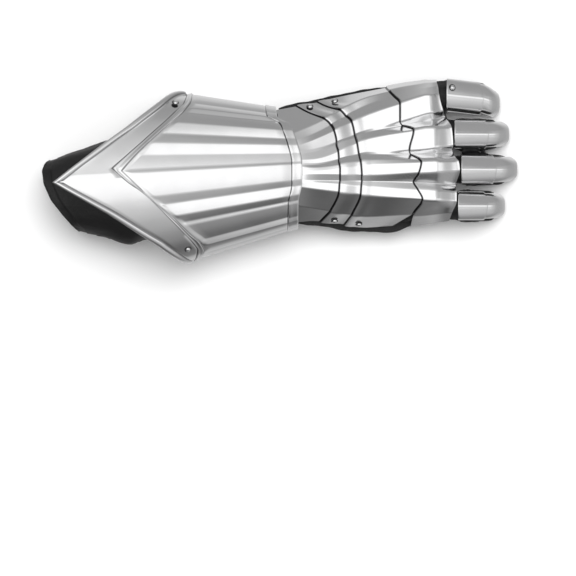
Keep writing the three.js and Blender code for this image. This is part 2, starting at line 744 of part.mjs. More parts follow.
// Ring of a glove finger; its underside lies flat where it meets the ground.
function fingerRing(finger, x, size, inset) {
  const c = crest(finger, x);
  c.z = Math.min(c.z, finger.z[0]);
  const axis = 15.5;
  const wide = x < finger.x[0] ? 0.86 : 1.02;
  const half = fingerSection.map(({ out, drop }) => ({ out: out * wide, drop }));
  const other = half.slice(1, -1).reverse().map(({ out, drop }) => ({ out: -out, drop }));
  const ring = [...half, ...other].reverse().map(({ out, drop }) => {
    const length = Math.hypot(out, drop - axis);
    const part = size - (inset * 1.15) / length;
    return vec(x, c.y + out * part, Math.max(0.5 + inset, c.z - axis * size - (drop - axis) * part));
  });
  const lines = fingerSections(finger, x);
  if (x < 154) lines.push(handSection(x));
  return fitUnder(ring, vec(x, c.y, c.z - axis * size), lines, ROOM + inset);
}

function gloveFinger(finger, inset) {
  const [root, front, end] = finger.x;
  const stops = [
    { x: root - 22, size: 1 },
    { x: root - 8, size: 1 },
    { x: root, size: 1 },
    { x: (root + front) / 2, size: 0.99 },
    { x: front, size: 0.95 },
    { x: mix(front, end, 0.4), size: 0.88 },
    { x: mix(front, end, 0.7) - inset, size: 0.76 },
    { x: end - 3 - inset, size: 0.52 },
  ];
  return toSolid(loft(stops.map(({ x, size }) => fingerRing(finger, x, size, inset))));
}

// Seam strip along one side edge of the lames.
function seamStrip(strip, line) {
  const side = Math.sign(strip[0].y);
  const rows = strip.map(({ x, y }) => {
    const edge = handPoint(line, x, 0);
    const out = vec(x, y, edge.z - 4.5);
    const inside = vec(x, edge.y - side * 7, edge.z - 5.5);
    return side > 0 ? [out, inside] : [inside, out];
  });
  return toSolid(sheet(rows, 2.6));
}

function gloveThumb(inset) {
  const angles = [0, 30, 60, 90, 120, 150, 180, 210, 240, 270, 300, 330];
  const stops = [
    { t: 0, size: 1 },
    { t: 0.5, size: 1 },
    { t: 0.84, size: 0.97 },
    { t: 0.95 - inset / thumbLength, size: 0.82 },
    { t: 1.01 - inset / thumbLength, size: 0.5 },
  ];
  return toSolid(loft(stops.map(({ t, size }) => thumbArc(t, THUMB_HALF * size - inset, angles))));
}

function gloveSolid(inset) {
  let solid = gloveBody(inset);
  fingers.forEach((finger) => {
    solid = solid.add(gloveFinger(finger, inset));
  });
  return solid.add(gloveThumb(inset));
}

// Block that takes away all that lies behind the slanted mouth.
function mouthCut() {
  const [[x0, y0], [x1, y1]] = MOUTH;
  const box = new THREE.BoxGeometry(60, 160, 120);
  box.translate(-30, 0, 50);
  box.rotateZ(Math.atan2(y1 - y0, x1 - x0) + Math.PI / 2);
  box.translate((x0 + x1) / 2, (y0 + y1) / 2, 0);
  return toSolid(box);
}

// Block round the thumb from a place on its axis to beyond its end.
function thumbBlock(t) {
  const long = (1.06 - t) * thumbLength;
  const box = new THREE.BoxGeometry(long, 30, 24);
  box.translate(t * thumbLength + long / 2, 0, -0.9);
  box.applyMatrix4(new THREE.Matrix4().makeBasis(thumbAxis, thumbSide, thumbDown.clone().negate()));
  box.translate(...THUMB_ROOT);
  return toSolid(box);
}

const glove = gloveSolid(0)
  .add(seamStrip(littleStrip, 0))
  .add(seamStrip(indexStrip, handLines.length - 1))
  .subtract(gloveSolid(LEATHER))
  .subtract(mouthCut());

// The glove is parted into its main pieces at the wrist, at the finger roots and
// where the thumb comes clear of the palm.
const WRIST_SEAM = -4;
const FINGER_SEAM = 144;
const THUMB_SEAM = 0.45;
const fingerBounds = { little: [45.6, 95], ring: [16, 45.4], middle: [-14.5, 15.7], index: [-60, -15] };

// Side seams: height of the joint between the upper and the under half.
const cuffSeam = [{ x: -260, z: 41 }, { x: -90, z: 38 }, { x: -12, z: 34 }, { x: 0, z: 34 }];
const handSeam = [{ x: -10, z: 37 }, { x: 27, z: 36.4 }, { x: 50, z: 33.5 }, { x: 76, z: 32.5 },
  { x: 92, z: 34 }, { x: 124, z: 33 }, { x: 150, z: 32 }];

// Block between a seam, shifted up or down, and a height limit.
function seamBlock(seam, shift, limit) {
  const outline = seam.map(({ x, z }) => new THREE.Vector2(x, z + shift));
  const shape = new THREE.Shape([
    ...outline,
    new THREE.Vector2(seam[seam.length - 1].x, limit),
    new THREE.Vector2(seam[0].x, limit),
  ]);
  const slab = new THREE.ExtrudeGeometry(shape, { depth: 240, bevelEnabled: false });
  slab.rotateX(Math.PI / 2);
  slab.translate(0, 120, 0);
  return toSolid(slab);
}

const gloveHand = glove
  .intersect(block([WRIST_SEAM + GAP, -120, -5], [FINGER_SEAM, 120, 120]))
  .subtract(thumbBlock(THUMB_SEAM));
const gloveCuff = glove.intersect(block([-260, -120, -5], [WRIST_SEAM, 120, 120]));
add('glove_cuff_top', toGeometry(gloveCuff.intersect(seamBlock(cuffSeam, GAP, 130))), leather);
add('glove_cuff_under', toGeometry(gloveCuff.intersect(seamBlock(cuffSeam, 0, -10))), leather);
add('glove_back', toGeometry(gloveHand.intersect(seamBlock(handSeam, GAP, 130))), leather);
add('glove_palm', toGeometry(gloveHand.intersect(seamBlock(handSeam, 0, -10))), leather);
fingers.forEach(({ name }) => {
  const [low, high] = fingerBounds[name];
  const room = block([FINGER_SEAM + GAP, low, -5], [260, high, 120]);
  add(`glove_${name}`, toGeometry(glove.intersect(room)), leather);
});
const thumbPart = glove.intersect(thumbBlock(THUMB_SEAM + GAP / thumbLength));
add('glove_thumb', toGeometry(thumbPart), leather);

export default gauntlet;
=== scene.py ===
"""Armoured gauntlet: fluted steel cuff, hand lames, knuckle, finger and thumb plates on
a black leather glove, lying palm down. Lengths in the tables are in millimetres."""

import json
import math

import bpy
import bmesh
import numpy as np
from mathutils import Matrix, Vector, noise
from mathutils.bvhtree import BVHTree

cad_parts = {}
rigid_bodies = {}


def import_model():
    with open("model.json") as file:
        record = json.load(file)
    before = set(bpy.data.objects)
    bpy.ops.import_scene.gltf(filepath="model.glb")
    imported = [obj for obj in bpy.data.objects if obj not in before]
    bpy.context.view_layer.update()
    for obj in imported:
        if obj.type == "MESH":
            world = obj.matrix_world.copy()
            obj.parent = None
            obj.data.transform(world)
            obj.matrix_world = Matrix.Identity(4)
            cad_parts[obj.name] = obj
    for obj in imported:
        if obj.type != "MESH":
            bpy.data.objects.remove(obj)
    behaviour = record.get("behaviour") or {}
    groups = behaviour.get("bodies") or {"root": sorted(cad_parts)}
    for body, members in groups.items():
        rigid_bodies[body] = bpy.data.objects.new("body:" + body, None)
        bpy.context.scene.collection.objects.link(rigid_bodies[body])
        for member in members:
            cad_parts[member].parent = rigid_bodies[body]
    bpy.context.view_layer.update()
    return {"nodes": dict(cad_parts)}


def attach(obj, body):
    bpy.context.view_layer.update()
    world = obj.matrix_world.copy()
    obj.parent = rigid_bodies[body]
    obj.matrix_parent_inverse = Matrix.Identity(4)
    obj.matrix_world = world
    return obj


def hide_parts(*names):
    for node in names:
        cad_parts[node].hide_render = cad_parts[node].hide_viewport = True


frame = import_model()

MM = 0.001
# Plate of the cuff, plate of the hand, height of a plate that laps another, and gap between them.
STEEL = 1.2
LAME = 1.0
LAP = 1.6
GAP = 0.3
SEWN_SHARP = 50


# ---- helpers

def mix(a, b, t):
    return a + (b - a) * t


def smooth(t):
    t = np.clip(t, 0.0, 1.0)
    return t * t * (3 - 2 * t)


def curve_through(xs, ys, at):
    """Smooth curve through points that adds no bumps of its own between them."""
    xs, ys = np.asarray(xs, float), np.asarray(ys, float)
    at = np.asarray(at, float)
    step = np.diff(xs)
    slope = np.diff(ys) / step
    tangent = np.zeros_like(ys)
    for i in range(1, len(xs) - 1):
        if slope[i - 1] * slope[i] > 0:
            a = 2 * step[i] + step[i - 1]
            b = step[i] + 2 * step[i - 1]
            tangent[i] = (a + b) / (a / slope[i - 1] + b / slope[i])
    tangent[0], tangent[-1] = slope[0], slope[-1]
    i = np.clip(np.searchsorted(xs, at, side="right") - 1, 0, len(xs) - 2)
    t = (at - xs[i]) / step[i]
    inside = (at >= xs[0]) & (at <= xs[-1])
    t3, t2 = t ** 3, t ** 2
    value = ((2 * t3 - 3 * t2 + 1) * ys[i] + (t3 - 2 * t2 + t) * step[i] * tangent[i]
             + (3 * t2 - 2 * t3) * ys[i + 1] + (t3 - t2) * step[i] * tangent[i + 1])
    before = ys[0] + tangent[0] * (at - xs[0])
    after = ys[-1] + tangent[-1] * (at - xs[-1])
    return np.where(inside, value, np.where(at < xs[0], before, after))


def grid_normals(points):
    along = np.zeros_like(points)
    across = np.zeros_like(points)
    along[1:-1] = points[2:] - points[:-2]
    along[0], along[-1] = points[1] - points[0], points[-1] - points[-2]
    across[:, 1:-1] = points[:, 2:] - points[:, :-2]
    across[:, 0] = points[:, 1] - points[:, 0]
    across[:, -1] = points[:, -1] - points[:, -2]
    normal = np.cross(along, across)
    return normal / np.maximum(np.linalg.norm(normal, axis=2, keepdims=True), 1e-9)


def grid_faces(rows, cols, start=0, flip=False):
    faces = []
    for i in range(rows - 1):
        for j in range(cols - 1):
            a = start + i * cols + j
            quad = (a, a + cols, a + cols + 1, a + 1)
            faces.append(quad[::-1] if flip else quad)
    return faces


def make_object(name, points, faces, material, sharp=35.0):
    mesh = bpy.data.meshes.new(name)
    mesh.from_pydata([tuple(p) for p in np.asarray(points) * MM], [], faces)
    mesh.validate()
    mesh.update()
    mesh.shade_smooth()
    mesh.set_sharp_from_angle(angle=math.radians(sharp))
    obj = bpy.data.objects.new(name, mesh)
    bpy.context.scene.collection.objects.link(obj)
    mesh.materials.append(material)
    return obj


def sheet_object(name, outer, thickness, material, sharp=35.0, normals=None, painted_shade=None):
    """Sheet metal: a grid of outer points, offset inwards and closed round its edge.
    Its last argument, from 0 to 1, darkens the colour of the outer points: painted shade where shadow falls in grooves
    and along lapping edges."""
    rows, cols, _ = outer.shape
    inner = outer - (grid_normals(outer) if normals is None else normals) * thickness
    count = rows * cols
    faces = grid_faces(rows, cols) + grid_faces(rows, cols, count, True)
    rim = [i * cols for i in range(rows)]
    rim += [(rows - 1) * cols + j for j in range(1, cols)]
    rim += [i * cols + cols - 1 for i in range(rows - 2, -1, -1)]
    rim += [j for j in range(cols - 2, 0, -1)]
    for a, b in zip(rim, rim[1:] + rim[:1]):
        faces.append((b, a, a + count, b + count))
    points = np.concatenate([outer.reshape(-1, 3), inner.reshape(-1, 3)])
    obj = make_object(name, points, faces, material, sharp)
    if painted_shade is not None:
        values = np.zeros(len(points), dtype=np.float32)
        values[:count] = np.broadcast_to(painted_shade, (rows, cols)).ravel()
        obj.data.attributes.new("painted_shade", "FLOAT", "POINT").data.foreach_set("value", values)
    return obj


def finish_piece(obj, slot, *nodes):
    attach(obj, "root")
    if nodes:
        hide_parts(*nodes)
    return obj


# ---- materials

def new_material(name):
    material = bpy.data.materials.new(name)
    material.use_nodes = True
    tree = material.node_tree
    tree.nodes.clear()
    shader = tree.nodes.new("ShaderNodeBsdfPrincipled")
    output = tree.nodes.new("ShaderNodeOutputMaterial")
    tree.links.new(shader.outputs["BSDF"], output.inputs["Surface"])
    return material, tree, shader


def node(tree, kind, **settings):
    made = tree.nodes.new(kind)
    for key, value in settings.items():
        setattr(made, key, value)
    return made


def place_on_object(tree, scale):
    coordinates = node(tree, "ShaderNodeTexCoord")
    mapping = node(tree, "ShaderNodeMapping")
    mapping.inputs["Scale"].default_value = scale
    tree.links.new(coordinates.outputs["Object"], mapping.inputs["Vector"])
    return mapping.outputs["Vector"]


def noise_at(tree, vector, scale, detail=3.0, rough=0.5):
    made = node(tree, "ShaderNodeTexNoise")
    made.inputs["Scale"].default_value = scale
    made.inputs["Detail"].default_value = detail
    made.inputs["Roughness"].default_value = rough
    tree.links.new(vector, made.inputs["Vector"])
    return made.outputs["Fac"]


def to_range(tree, value, low, high, from_low=0.0, from_high=1.0):
    made = node(tree, "ShaderNodeMapRange")
    made.inputs["From Min"].default_value = from_low
    made.inputs["From Max"].default_value = from_high
    made.inputs["To Min"].default_value = low
    made.inputs["To Max"].default_value = high
    tree.links.new(value, made.inputs["Value"])
    return made.outputs["Result"]


def bump(tree, height, distance, strength, normal=None):
    made = node(tree, "ShaderNodeBump")
    made.inputs["Strength"].default_value = strength
    made.inputs["Distance"].default_value = distance
    tree.links.new(height, made.inputs["Height"])
    if normal is not None:
        tree.links.new(normal, made.inputs["Normal"])
    return made.outputs["Normal"]


def polished_steel(name, rough, brush_along):
    """Hand-polished sheet steel: soft waves from the hammer, fine lines from the wheel."""
    material, tree, shader = new_material(name)
    shader.inputs["Metallic"].default_value = 1.0
    plain = place_on_object(tree, (1, 1, 1))
    brushed = place_on_object(tree, brush_along)
    tint = node(tree, "ShaderNodeValToRGB")
    tint.color_ramp.elements[0].color = (0.80, 0.80, 0.805, 1)
    tint.color_ramp.elements[1].color = (0.90, 0.90, 0.905, 1)
    tree.links.new(noise_at(tree, plain, 18.0, 4.0, 0.6), tint.inputs["Fac"])
    # Painted shade: a value on each point mixes the colour towards near-black where shadow falls in grooves, along
    # lapping edges and round rivet feet.
    painted_shade = node(tree, "ShaderNodeAttribute", attribute_name="painted_shade")
    painted_shade_mix = node(tree, "ShaderNodeMix", data_type="RGBA")
    painted_shade_mix.inputs["B"].default_value = (0.03, 0.03, 0.032, 1)
    tree.links.new(painted_shade.outputs["Fac"], painted_shade_mix.inputs["Factor"])
    tree.links.new(tint.outputs["Color"], painted_shade_mix.inputs["A"])
    tree.links.new(painted_shade_mix.outputs["Result"], shader.inputs["Base Color"])
    streaks = noise_at(tree, brushed, 900.0, 2.0, 0.6)
    smudge = noise_at(tree, plain, 45.0, 4.0, 0.65)
    both = node(tree, "ShaderNodeMath", operation="ADD")
    tree.links.new(to_range(tree, streaks, -0.035, 0.035), both.inputs[0])
    tree.links.new(to_range(tree, smudge, rough - 0.035, rough + 0.05), both.inputs[1])
    tree.links.new(both.outputs["Value"], shader.inputs["Roughness"])
    waves = bump(tree, noise_at(tree, plain, 30.0, 1.5, 0.5), 0.0007, 0.5)
    lines = bump(tree, streaks, 0.00002, 0.6, waves)
    tree.links.new(lines, shader.inputs["Normal"])
    return material


def black_leather(name, base, rough, grain=1.0):
    """Soft grained hide: small irregular cells with finer wrinkles over them."""
    material, tree, shader = new_material(name)
    plain = place_on_object(tree, (1, 1, 1))
    wobble = node(tree, "ShaderNodeTexNoise")
    wobble.inputs["Scale"].default_value = 260.0
    wobble.inputs["Detail"].default_value = 2.0
    tree.links.new(plain, wobble.inputs["Vector"])
    shifted = node(tree, "ShaderNodeVectorMath", operation="MULTIPLY_ADD")
    shifted.inputs[1].default_value = (0.0012, 0.0012, 0.0012)
    tree.links.new(wobble.outputs["Color"], shifted.inputs[0])
    tree.links.new(plain, shifted.inputs[2])
    cells = node(tree, "ShaderNodeTexVoronoi", feature="DISTANCE_TO_EDGE")
    cells.inputs["Scale"].default_value = 620.0
    tree.links.new(shifted.outputs["Vector"], cells.inputs["Vector"])
    pebble = to_range(tree, cells.outputs["Distance"], 0.0, 1.0, 0.0, 0.28)
    fine = noise_at(tree, plain, 1900.0, 3.0, 0.6)
    broad = noise_at(tree, plain, 60.0, 4.0, 0.6)
    height = node(tree, "ShaderNodeMath", operation="MULTIPLY_ADD")
    height.inputs[1].default_value = 0.35
    tree.links.new(fine, height.inputs[0])
    tree.links.new(pebble, height.inputs[2])
    shade = node(tree, "ShaderNodeValToRGB")
    shade.color_ramp.elements[0].color = (base * 0.6, base * 0.6, base * 0.62, 1)
    shade.color_ramp.elements[1].color = (base * 1.5, base * 1.5, base * 1.55, 1)
    tree.links.new(broad, shade.inputs["Fac"])
    tree.links.new(shade.outputs["Color"], shader.inputs["Base Color"])
    tree.links.new(to_range(tree, broad, rough - 0.07, rough + 0.1), shader.inputs["Roughness"])
    folds = bump(tree, broad, 0.0012, 0.5)
    tree.links.new(bump(tree, height.outputs["Value"], 0.00016, 0.8 * grain, folds), shader.inputs["Normal"])
    return material


steel = polished_steel("polished_steel", 0.17, (0.05, 1, 1))
steel_band = polished_steel("polished_steel_band", 0.19, (1, 0.08, 1))
rivet_steel = polished_steel("rivet_steel", 0.15, (1, 1, 1))
leather = black_leather("black_leather", 0.006, 0.5)
thread = black_leather("black_thread", 0.02, 0.6, 0.3)


# ---- cuff plate

def cuff_half(x):
    return 53.3 - 0.232 * x


def cuff_point(x, angle, lift):
    """Point of the cuff's oval cone at x and an angle from the crest, raised by lift."""
    a = cuff_half(x)
    h = 0.71 * a
    t = np.radians(angle)
    out_y, out_z = np.sin(t) / a, np.cos(t) / h
    size = np.hypot(out_y, out_z)
    y = 0.077 * x + a * np.sin(t) + lift * out_y / size
    z = 40.7 - 0.035 * x + h * np.cos(t) + lift * out_z / size
    return np.stack(np.broadcast_arrays(x, y, z), axis=-1)


# Rear edge from the index corner over the point to the little finger's corner.
REAR_EDGE_INDEX = [
    (-90, -79), (-72, -85.5), (-48, -102.5), (-35.4, -117.7), (-18, -145), (-8.7, -165), (-2.6, -180),
    (2.5, -193),
]
REAR_EDGE_LITTLE = [
    (2.5, -193), (8.2, -180), (15.1, -165), (23.4, -149), (36, -128), (58, -104), (77, -92), (90, -85),
]
# Rear and front side of the raised chevron strip.
STRIP_REAR_INDEX = [
    (-90, -72.6), (-78, -71.4), (-63.9, -70.1), (-53.1, -73.8), (-34.8, -86.4), (-22.4, -98.3),
    (-9.4, -113.3), (0.1, -129.6), (8.4, -142.4),
]
STRIP_REAR_LITTLE = [
    (8.4, -142.4), (15.2, -131.2), (27.6, -113.3), (43.5, -95.4), (51, -89.4), (62.8, -82),
    (82, -79.6), (90, -79.4),
]
STRIP_FRONT_INDEX = [
    (-90, -68), (-78, -66.8), (-66, -65.2), (-54.4, -68.3), (-40.9, -78.2), (-28.8, -88.6), (-15.9, -103.6),
    (-3, -120.7), (6.6, -134.6),
]
STRIP_FRONT_LITTLE = [
    (6.6, -134.6), (14.6, -124.4), (22.9, -113.3), (29.8, -104.3), (39.8, -92.5), (52.5, -81.4),
    (66, -76), (90, -74.8),
]
# Front edge over the wrist.
FRONT_EDGE = [
    (-90, 15), (-34, 15.5), (-14, 18.5), (6, 18.5), (25, 15), (38, 11.5), (50, 7.5), (57, -2.5), (90, -4),
]
# Flutes: angle and height above the plain oval.
FLUTES = [
    (-90, 0), (-75, -0.8), (-59, 0.9), (-53, -1.8), (-35, -0.6), (-32, -1.4), (-25.5, 0.9),
    (-16.5, -1.3), (-10.5, 0.6), (5, 0.6), (7, -0.4), (16, -1.3), (24, 0.4), (31, -1.2),
    (39.5, 1.2), (50.5, -0.6), (55.5, 0.8), (64, -0.8), (77, -0.2), (90, 0),
]


def column(table, k):
    return [row[k] for row in table]


def two_sided(index, little, angle):
    """Edge with a point in it, given as a table for each side of the point."""
    left = curve_through(column(index, 0), column(index, 1), angle)
    right = curve_through(column(little, 0), column(little, 1), angle)
    return np.where(angle < little[0][0], left, right)


def flute_lift(angle):
    """Straight-sided flutes whose ridges are rounded by about half a millimetre."""
    total = 0
    taps = (-0.7, -0.35, 0, 0.35, 0.7)
    for tap in taps:
        total = total + np.interp(angle + tap, column(FLUTES, 0), column(FLUTES, 1))
    return total / len(taps)


def cuff_angles():
    """Angles of the grid's columns: even steps, and close ones at every ridge."""
    angles = set(np.arange(-90, 90.1, 1.5))
    for knot in column(FLUTES, 0)[1:-1]:
        angles.update(knot + off for off in (-1.3, -0.8, -0.4, 0, 0.4, 0.8, 1.3))
    for knot in (2.5, 6.6, 8.4):
        angles.update(knot + off for off in (-0.5, 0, 0.5))
    ordered = sorted(angles)
    kept = [ordered[0]]
    for angle in ordered[1:]:
        if angle - kept[-1] > 0.25:
            kept.append(angle)
    kept[-1] = 90
    return np.array(kept)


def cuff_plate():
    angles = cuff_angles()
    rear = two_sided(REAR_EDGE_INDEX, REAR_EDGE_LITTLE, angles)
    strip_rear = two_sided(STRIP_REAR_INDEX, STRIP_REAR_LITTLE, angles)
    strip_front = two_sided(STRIP_FRONT_INDEX, STRIP_FRONT_LITTLE, angles)
    front = curve_through(column(FRONT_EDGE, 0), column(FRONT_EDGE, 1), angles)
    # Length along x for a step square to the slanting edge.
    arc = np.radians(angles) * cuff_half(rear) * 0.88
    stretch = np.clip(np.sqrt(1 + np.gradient(rear, arc) ** 2), 1.0, 1.6)
    flute = flute_lift(angles)
    # The two sides of the point meet in a soft keel.
    keel = -1.7 * (1 - np.exp(-np.clip(angles - 5.5, 0, None) / 8))
    rows, painted_shade = [], []
    for d in (*np.linspace(0, 4.1, 12), *np.linspace(4.3, 5.3, 5)):
        bead = 1.55 * math.sqrt(max(0, 1 - ((d - 2.0) / 2.05) ** 2))
        groove = -0.6 * math.exp(-((d - 4.5) / 0.45) ** 2)
        rows.append(cuff_point(rear + d * stretch, angles, bead + groove + keel * smooth((d - 4.4) / 1.2)))
        # Painted shade in the groove behind the bead.
        painted_shade.append(0.8 * math.exp(-((d - 4.35) / 0.35) ** 2))
    after_bead = rear + 5.3 * stretch
    for t in np.linspace(0, 1, 9)[1:-1]:
        rows.append(cuff_point(mix(after_bead, strip_rear - 1.2, t), angles, keel))
        painted_shade.append(0)
    # Across the strip, with its painted shade where the steps and grooves fall into shadow: groove, step up, slightly
    # hollow top, step down, groove.
    across = [
        (-0.16, 0, 0), (-0.08, -0.22, 0.75), (0.0, 0.05, 0.75), (0.06, 0.75, 0), (0.12, 1.2, 0),
        (0.2, 1.25, 0), (0.35, 1.02, 0), (0.5, 0.95, 0.15), (0.65, 1.02, 0), (0.8, 1.25, 0),
        (0.88, 1.2, 0), (0.94, 0.75, 0), (1.0, 0.05, 0.75), (1.08, -0.22, 0), (1.16, 0, 0),
    ]
    wide = strip_front - strip_rear
    for t, lift, dark in across:
        raised = lift + keel * smooth((1 - t) / 1.1) + 0.1 * flute * max(0, t)
        rows.append(cuff_point(strip_rear + wide * t, angles, raised))
        painted_shade.append(dark)
    start = strip_rear + wide * 1.16
    for t in (0.1, 0.22, 0.36, 0.5, 0.66, 0.82, 1.0):
        rows.append(cuff_point(start + 5 * t, angles, mix(0.12, 1, smooth(t)) * flute))
        painted_shade.append(0)
    for t in np.linspace(0, 1, 16)[1:]:
        rows.append(cuff_point(mix(start + 5, front - 9.8, t), angles, flute))
        painted_shade.append(0)
    collar = [
        (9.5, 0.97, -0.05), (9.2, 0.9, -0.16), (8.9, 0.75, 0.1), (8.6, 0.6, 0.5), (8.3, 0.52, 0.76),
        (7.8, 0.5, 0.82), (6, 0.5, 0.72), (4, 0.5, 0.68), (2, 0.5, 0.74), (1, 0.5, 0.78), (0.5, 0.5, 0.7),
        (0.15, 0.5, 0.5), (0, 0.5, 0.2),
    ]
    for back, part, lift in collar:
        rows.append(cuff_point(front - back, angles, flute * part + lift))
        # Painted shade at the foot of the step up to the collar.
        painted_shade.append(0.5 if back in (8.9, 9.2) else 0)
    plate = sheet_object("steel_cuff_plate", np.array(rows), STEEL, steel, painted_shade=np.array(painted_shade)[:, None])
    return finish_piece(plate, "steel", "cuff_plate")


cuff_plate()


# ---- cuff band

BAND_REAR, BAND_FRONT, BAND_TUCK = -80, -12, 12


def cuff_band():
    stations = [
        (0, 0.5), (0.3, 1.0), (0.9, 1.35), (1.6, 1.35), (2.2, 1.0), (2.5, 0.55), (2.8, 0.5), (3.1, 0.9),
        (3.7, 1.2), (4.4, 1.1), (4.9, 0.7), (5.3, 0.1), (5.8, -0.05), (6.6, 0),
    ]
    length = BAND_FRONT - BAND_REAR
    profile = [(BAND_REAR + d, lift) for d, lift in stations]
    profile += [(BAND_REAR + 6.6 + (length - 13.2) * t, 0.0) for t in np.linspace(0, 1, 14)[1:-1]]
    profile += [(BAND_FRONT - d, lift) for d, lift in reversed(stations)]
    angles = np.linspace(90 + BAND_TUCK, -90 - BAND_TUCK, 121)
    t = np.radians(angles)
    shown = smooth((92 - np.abs(angles)) / 8)
    rows = []
    for x, lift in profile:
        raised = lift * shown
        a = cuff_half(x) - STEEL - 1.2 - GAP + raised
        side = 40.7 - 0.035 * x
        z = np.maximum(0, side - (side + raised) * np.cos(t))
        rows.append(np.stack([np.full_like(t, x), 0.077 * x + a * np.sin(t), z], axis=-1))
    band = sheet_object("steel_cuff_band", np.array(rows), STEEL, steel_band)
    return finish_piece(band, "steel", "cuff_band")


cuff_band()


# ---- hand plates

HAND_X = [16, 27, 76, 123]
# Ridge lines of the back of the hand: y and z at those places, and the point on the
# knuckle plate's front lip.
HAND_LINES = [
    ([55.5, 57.5, 68, 77.5], [40, 38, 27, 24], (133, 77.5, 28)),
    ([34, 38.5, 63, 74.5], [62, 58, 43, 38], (133, 75.5, 39)),
    ([27, 31, 56.5, 70], [65, 60, 46, 46], (134, 72, 44)),
    ([21.5, 25.5, 48, 64], [67, 64, 53, 56], (135, 65, 47.5)),
    ([16.5, 18, 35, 48.5], [68.5, 65, 55, 57], (138.5, 51, 46)),
    ([14, 15.5, 32.5, 42], [69, 65.8, 56, 51.5], (140, 46, 41)),
    ([9, 9.5, 27, 36], [70.4, 68.4, 60.5, 62.5], (145.5, 37, 54)),
    ([6.5, 6, 15.5, 18.5], [70.8, 68.8, 61.7, 65], (146.8, 21, 54.5)),
    ([5, 4.5, 13, 14], [71, 69.3, 62.8, 60], (146.5, 15.5, 48)),
    ([3.5, 2.5, 8.5, 9.5], [71.2, 71, 67, 66], (149, 11, 55)),
    ([1, -0.5, 4.5, 7], [71.6, 71.7, 68, 68.5], (151.5, 8, 57)),
    ([-3, -3, -3.5, -1.5], [71.6, 72, 68, 68.5], (152.5, 0, 57)),
    ([-8, -8.5, -9, -10], [71.2, 70, 64.8, 60.5], (149, -13, 48)),
    ([-10.5, -10.5, -14, -16.5], [70.8, 70.4, 66.3, 64], (149.8, -18, 53)),
    ([-14, -15.5, -21, -24.5], [70, 69.6, 65.8, 65], (149.8, -26, 54)),
    ([-30, -32, -38.5, -37], [59, 55.5, 50, 46], (146, -36, 48.5)),
    ([-44, -43, -48, -45], [41, 40, 29, 29], (143.5, -43, 36)),
]
REAR_1 = [-8, -4, 4, 6, 6, 6, 6, 6, 6, 6, 6, 6, 6, 6, 6, 8, 10]
REAR_2 = [14, 38, 43, 46, 48, 48, 49.5, 50, 50, 50.5, 51, 51, 51, 50.5, 50, 42.5, 34]
REAR_3 = [32, 51.5, 56, 61, 63.5, 64, 65.5, 67, 67.5, 68.5, 69, 69.5, 69.5, 69, 68.5, 61, 54.5]
REAR_4 = [90, 93, 97, 102, 102, 104, 113.5, 110, 111, 118, 120, 118, 113.5, 117, 121, 113, 111]
FRONT_3 = [95, 99, 104, 109, 110, 112, 121, 118, 119, 125, 127, 125, 121, 124, 128, 112, 95.5]
LINES = len(HAND_LINES)


def line_point(i, x):
    ys, zs, (fx, fy, fz) = HAND_LINES[i]
    y = curve_through(HAND_X, ys, np.minimum(x, 123))
    z = curve_through(HAND_X, zs, np.minimum(x, 123))
    u = np.clip((x - 123) / (fx - 123), 0, 1)
    s = smooth((u - 0.3) / 0.7)
    y = np.where(x >= 123, mix(ys[3], fy, u), y)
    z = np.where(x >= 123, mix(zs[3], fz, s), z)
    return y, z


def knot_places():
    """Distance across the hand of each ridge line, measured at the third lame."""
    places = [0.0]
    for i in range(1, LINES):
        (ya, za), (yb, zb) = line_point(i - 1, np.array(90.0)), line_point(i, np.array(90.0))
        places.append(places[-1] + float(np.hypot(yb - ya, zb - za)))
    return np.array(places)


PLACES = knot_places()


def across_places():
    """Places across the hand of the grid's columns, close together at the ridges."""
    found = set()
    for i in range(LINES - 1):
        a, b = PLACES[i], PLACES[i + 1]
        count = max(2, int((b - a) / 1.8))
        found.update(np.linspace(a, b, count + 1))
    for i in range(1, LINES - 1):
        found.update(PLACES[i] + off for off in (-1.2, -0.7, -0.35, 0.35, 0.7, 1.2))
    ordered = sorted(found)
    kept = [ordered[0]]
    for place in ordered[1:]:
        if place - kept[-1] > 0.22:
            kept.append(place)
    kept[-1] = PLACES[-1]
    return np.array(kept)


ACROSS = across_places()


def hand_surface(s, x):
    """Back of the hand at places s across (columns) and x (rows by columns)."""
    total_y, total_z = 0, 0
    taps = (-0.8, -0.4, 0, 0.4, 0.8)
    lines = [line_point(i, x) for i in range(LINES)]
    ys = np.array([line[0] for line in lines])
    zs = np.array([line[1] for line in lines])
    cols = np.arange(len(s))
    for tap in taps:
        at = np.clip(s + tap, PLACES[0], PLACES[-1])
        i = np.clip(np.searchsorted(PLACES, at, side="right") - 1, 0, LINES - 2)
        f = (at - PLACES[i]) / (PLACES[i + 1] - PLACES[i])
        total_y = total_y + mix(ys[i, :, cols].T, ys[i + 1, :, cols].T, f)
        total_z = total_z + mix(zs[i, :, cols].T, zs[i + 1, :, cols].T, f)
    return np.stack([x, total_y / len(taps), total_z / len(taps)], axis=-1)


def edge_line(values):
    return curve_through(PLACES, values, ACROSS)


def broad_normals(points, wide=4):
    """Grid normals averaged across the hand, so that a lift opens no folds in the dips."""
    normal = grid_normals(points)
    total = np.zeros_like(normal)
    for off in range(-wide, wide + 1):
        cols = np.clip(np.arange(points.shape[1]) + off, 0, points.shape[1] - 1)
        total += normal[:, cols] * (wide + 1 - abs(off))
    total[..., 0] *= 0.5
    return total / np.linalg.norm(total, axis=2, keepdims=True)


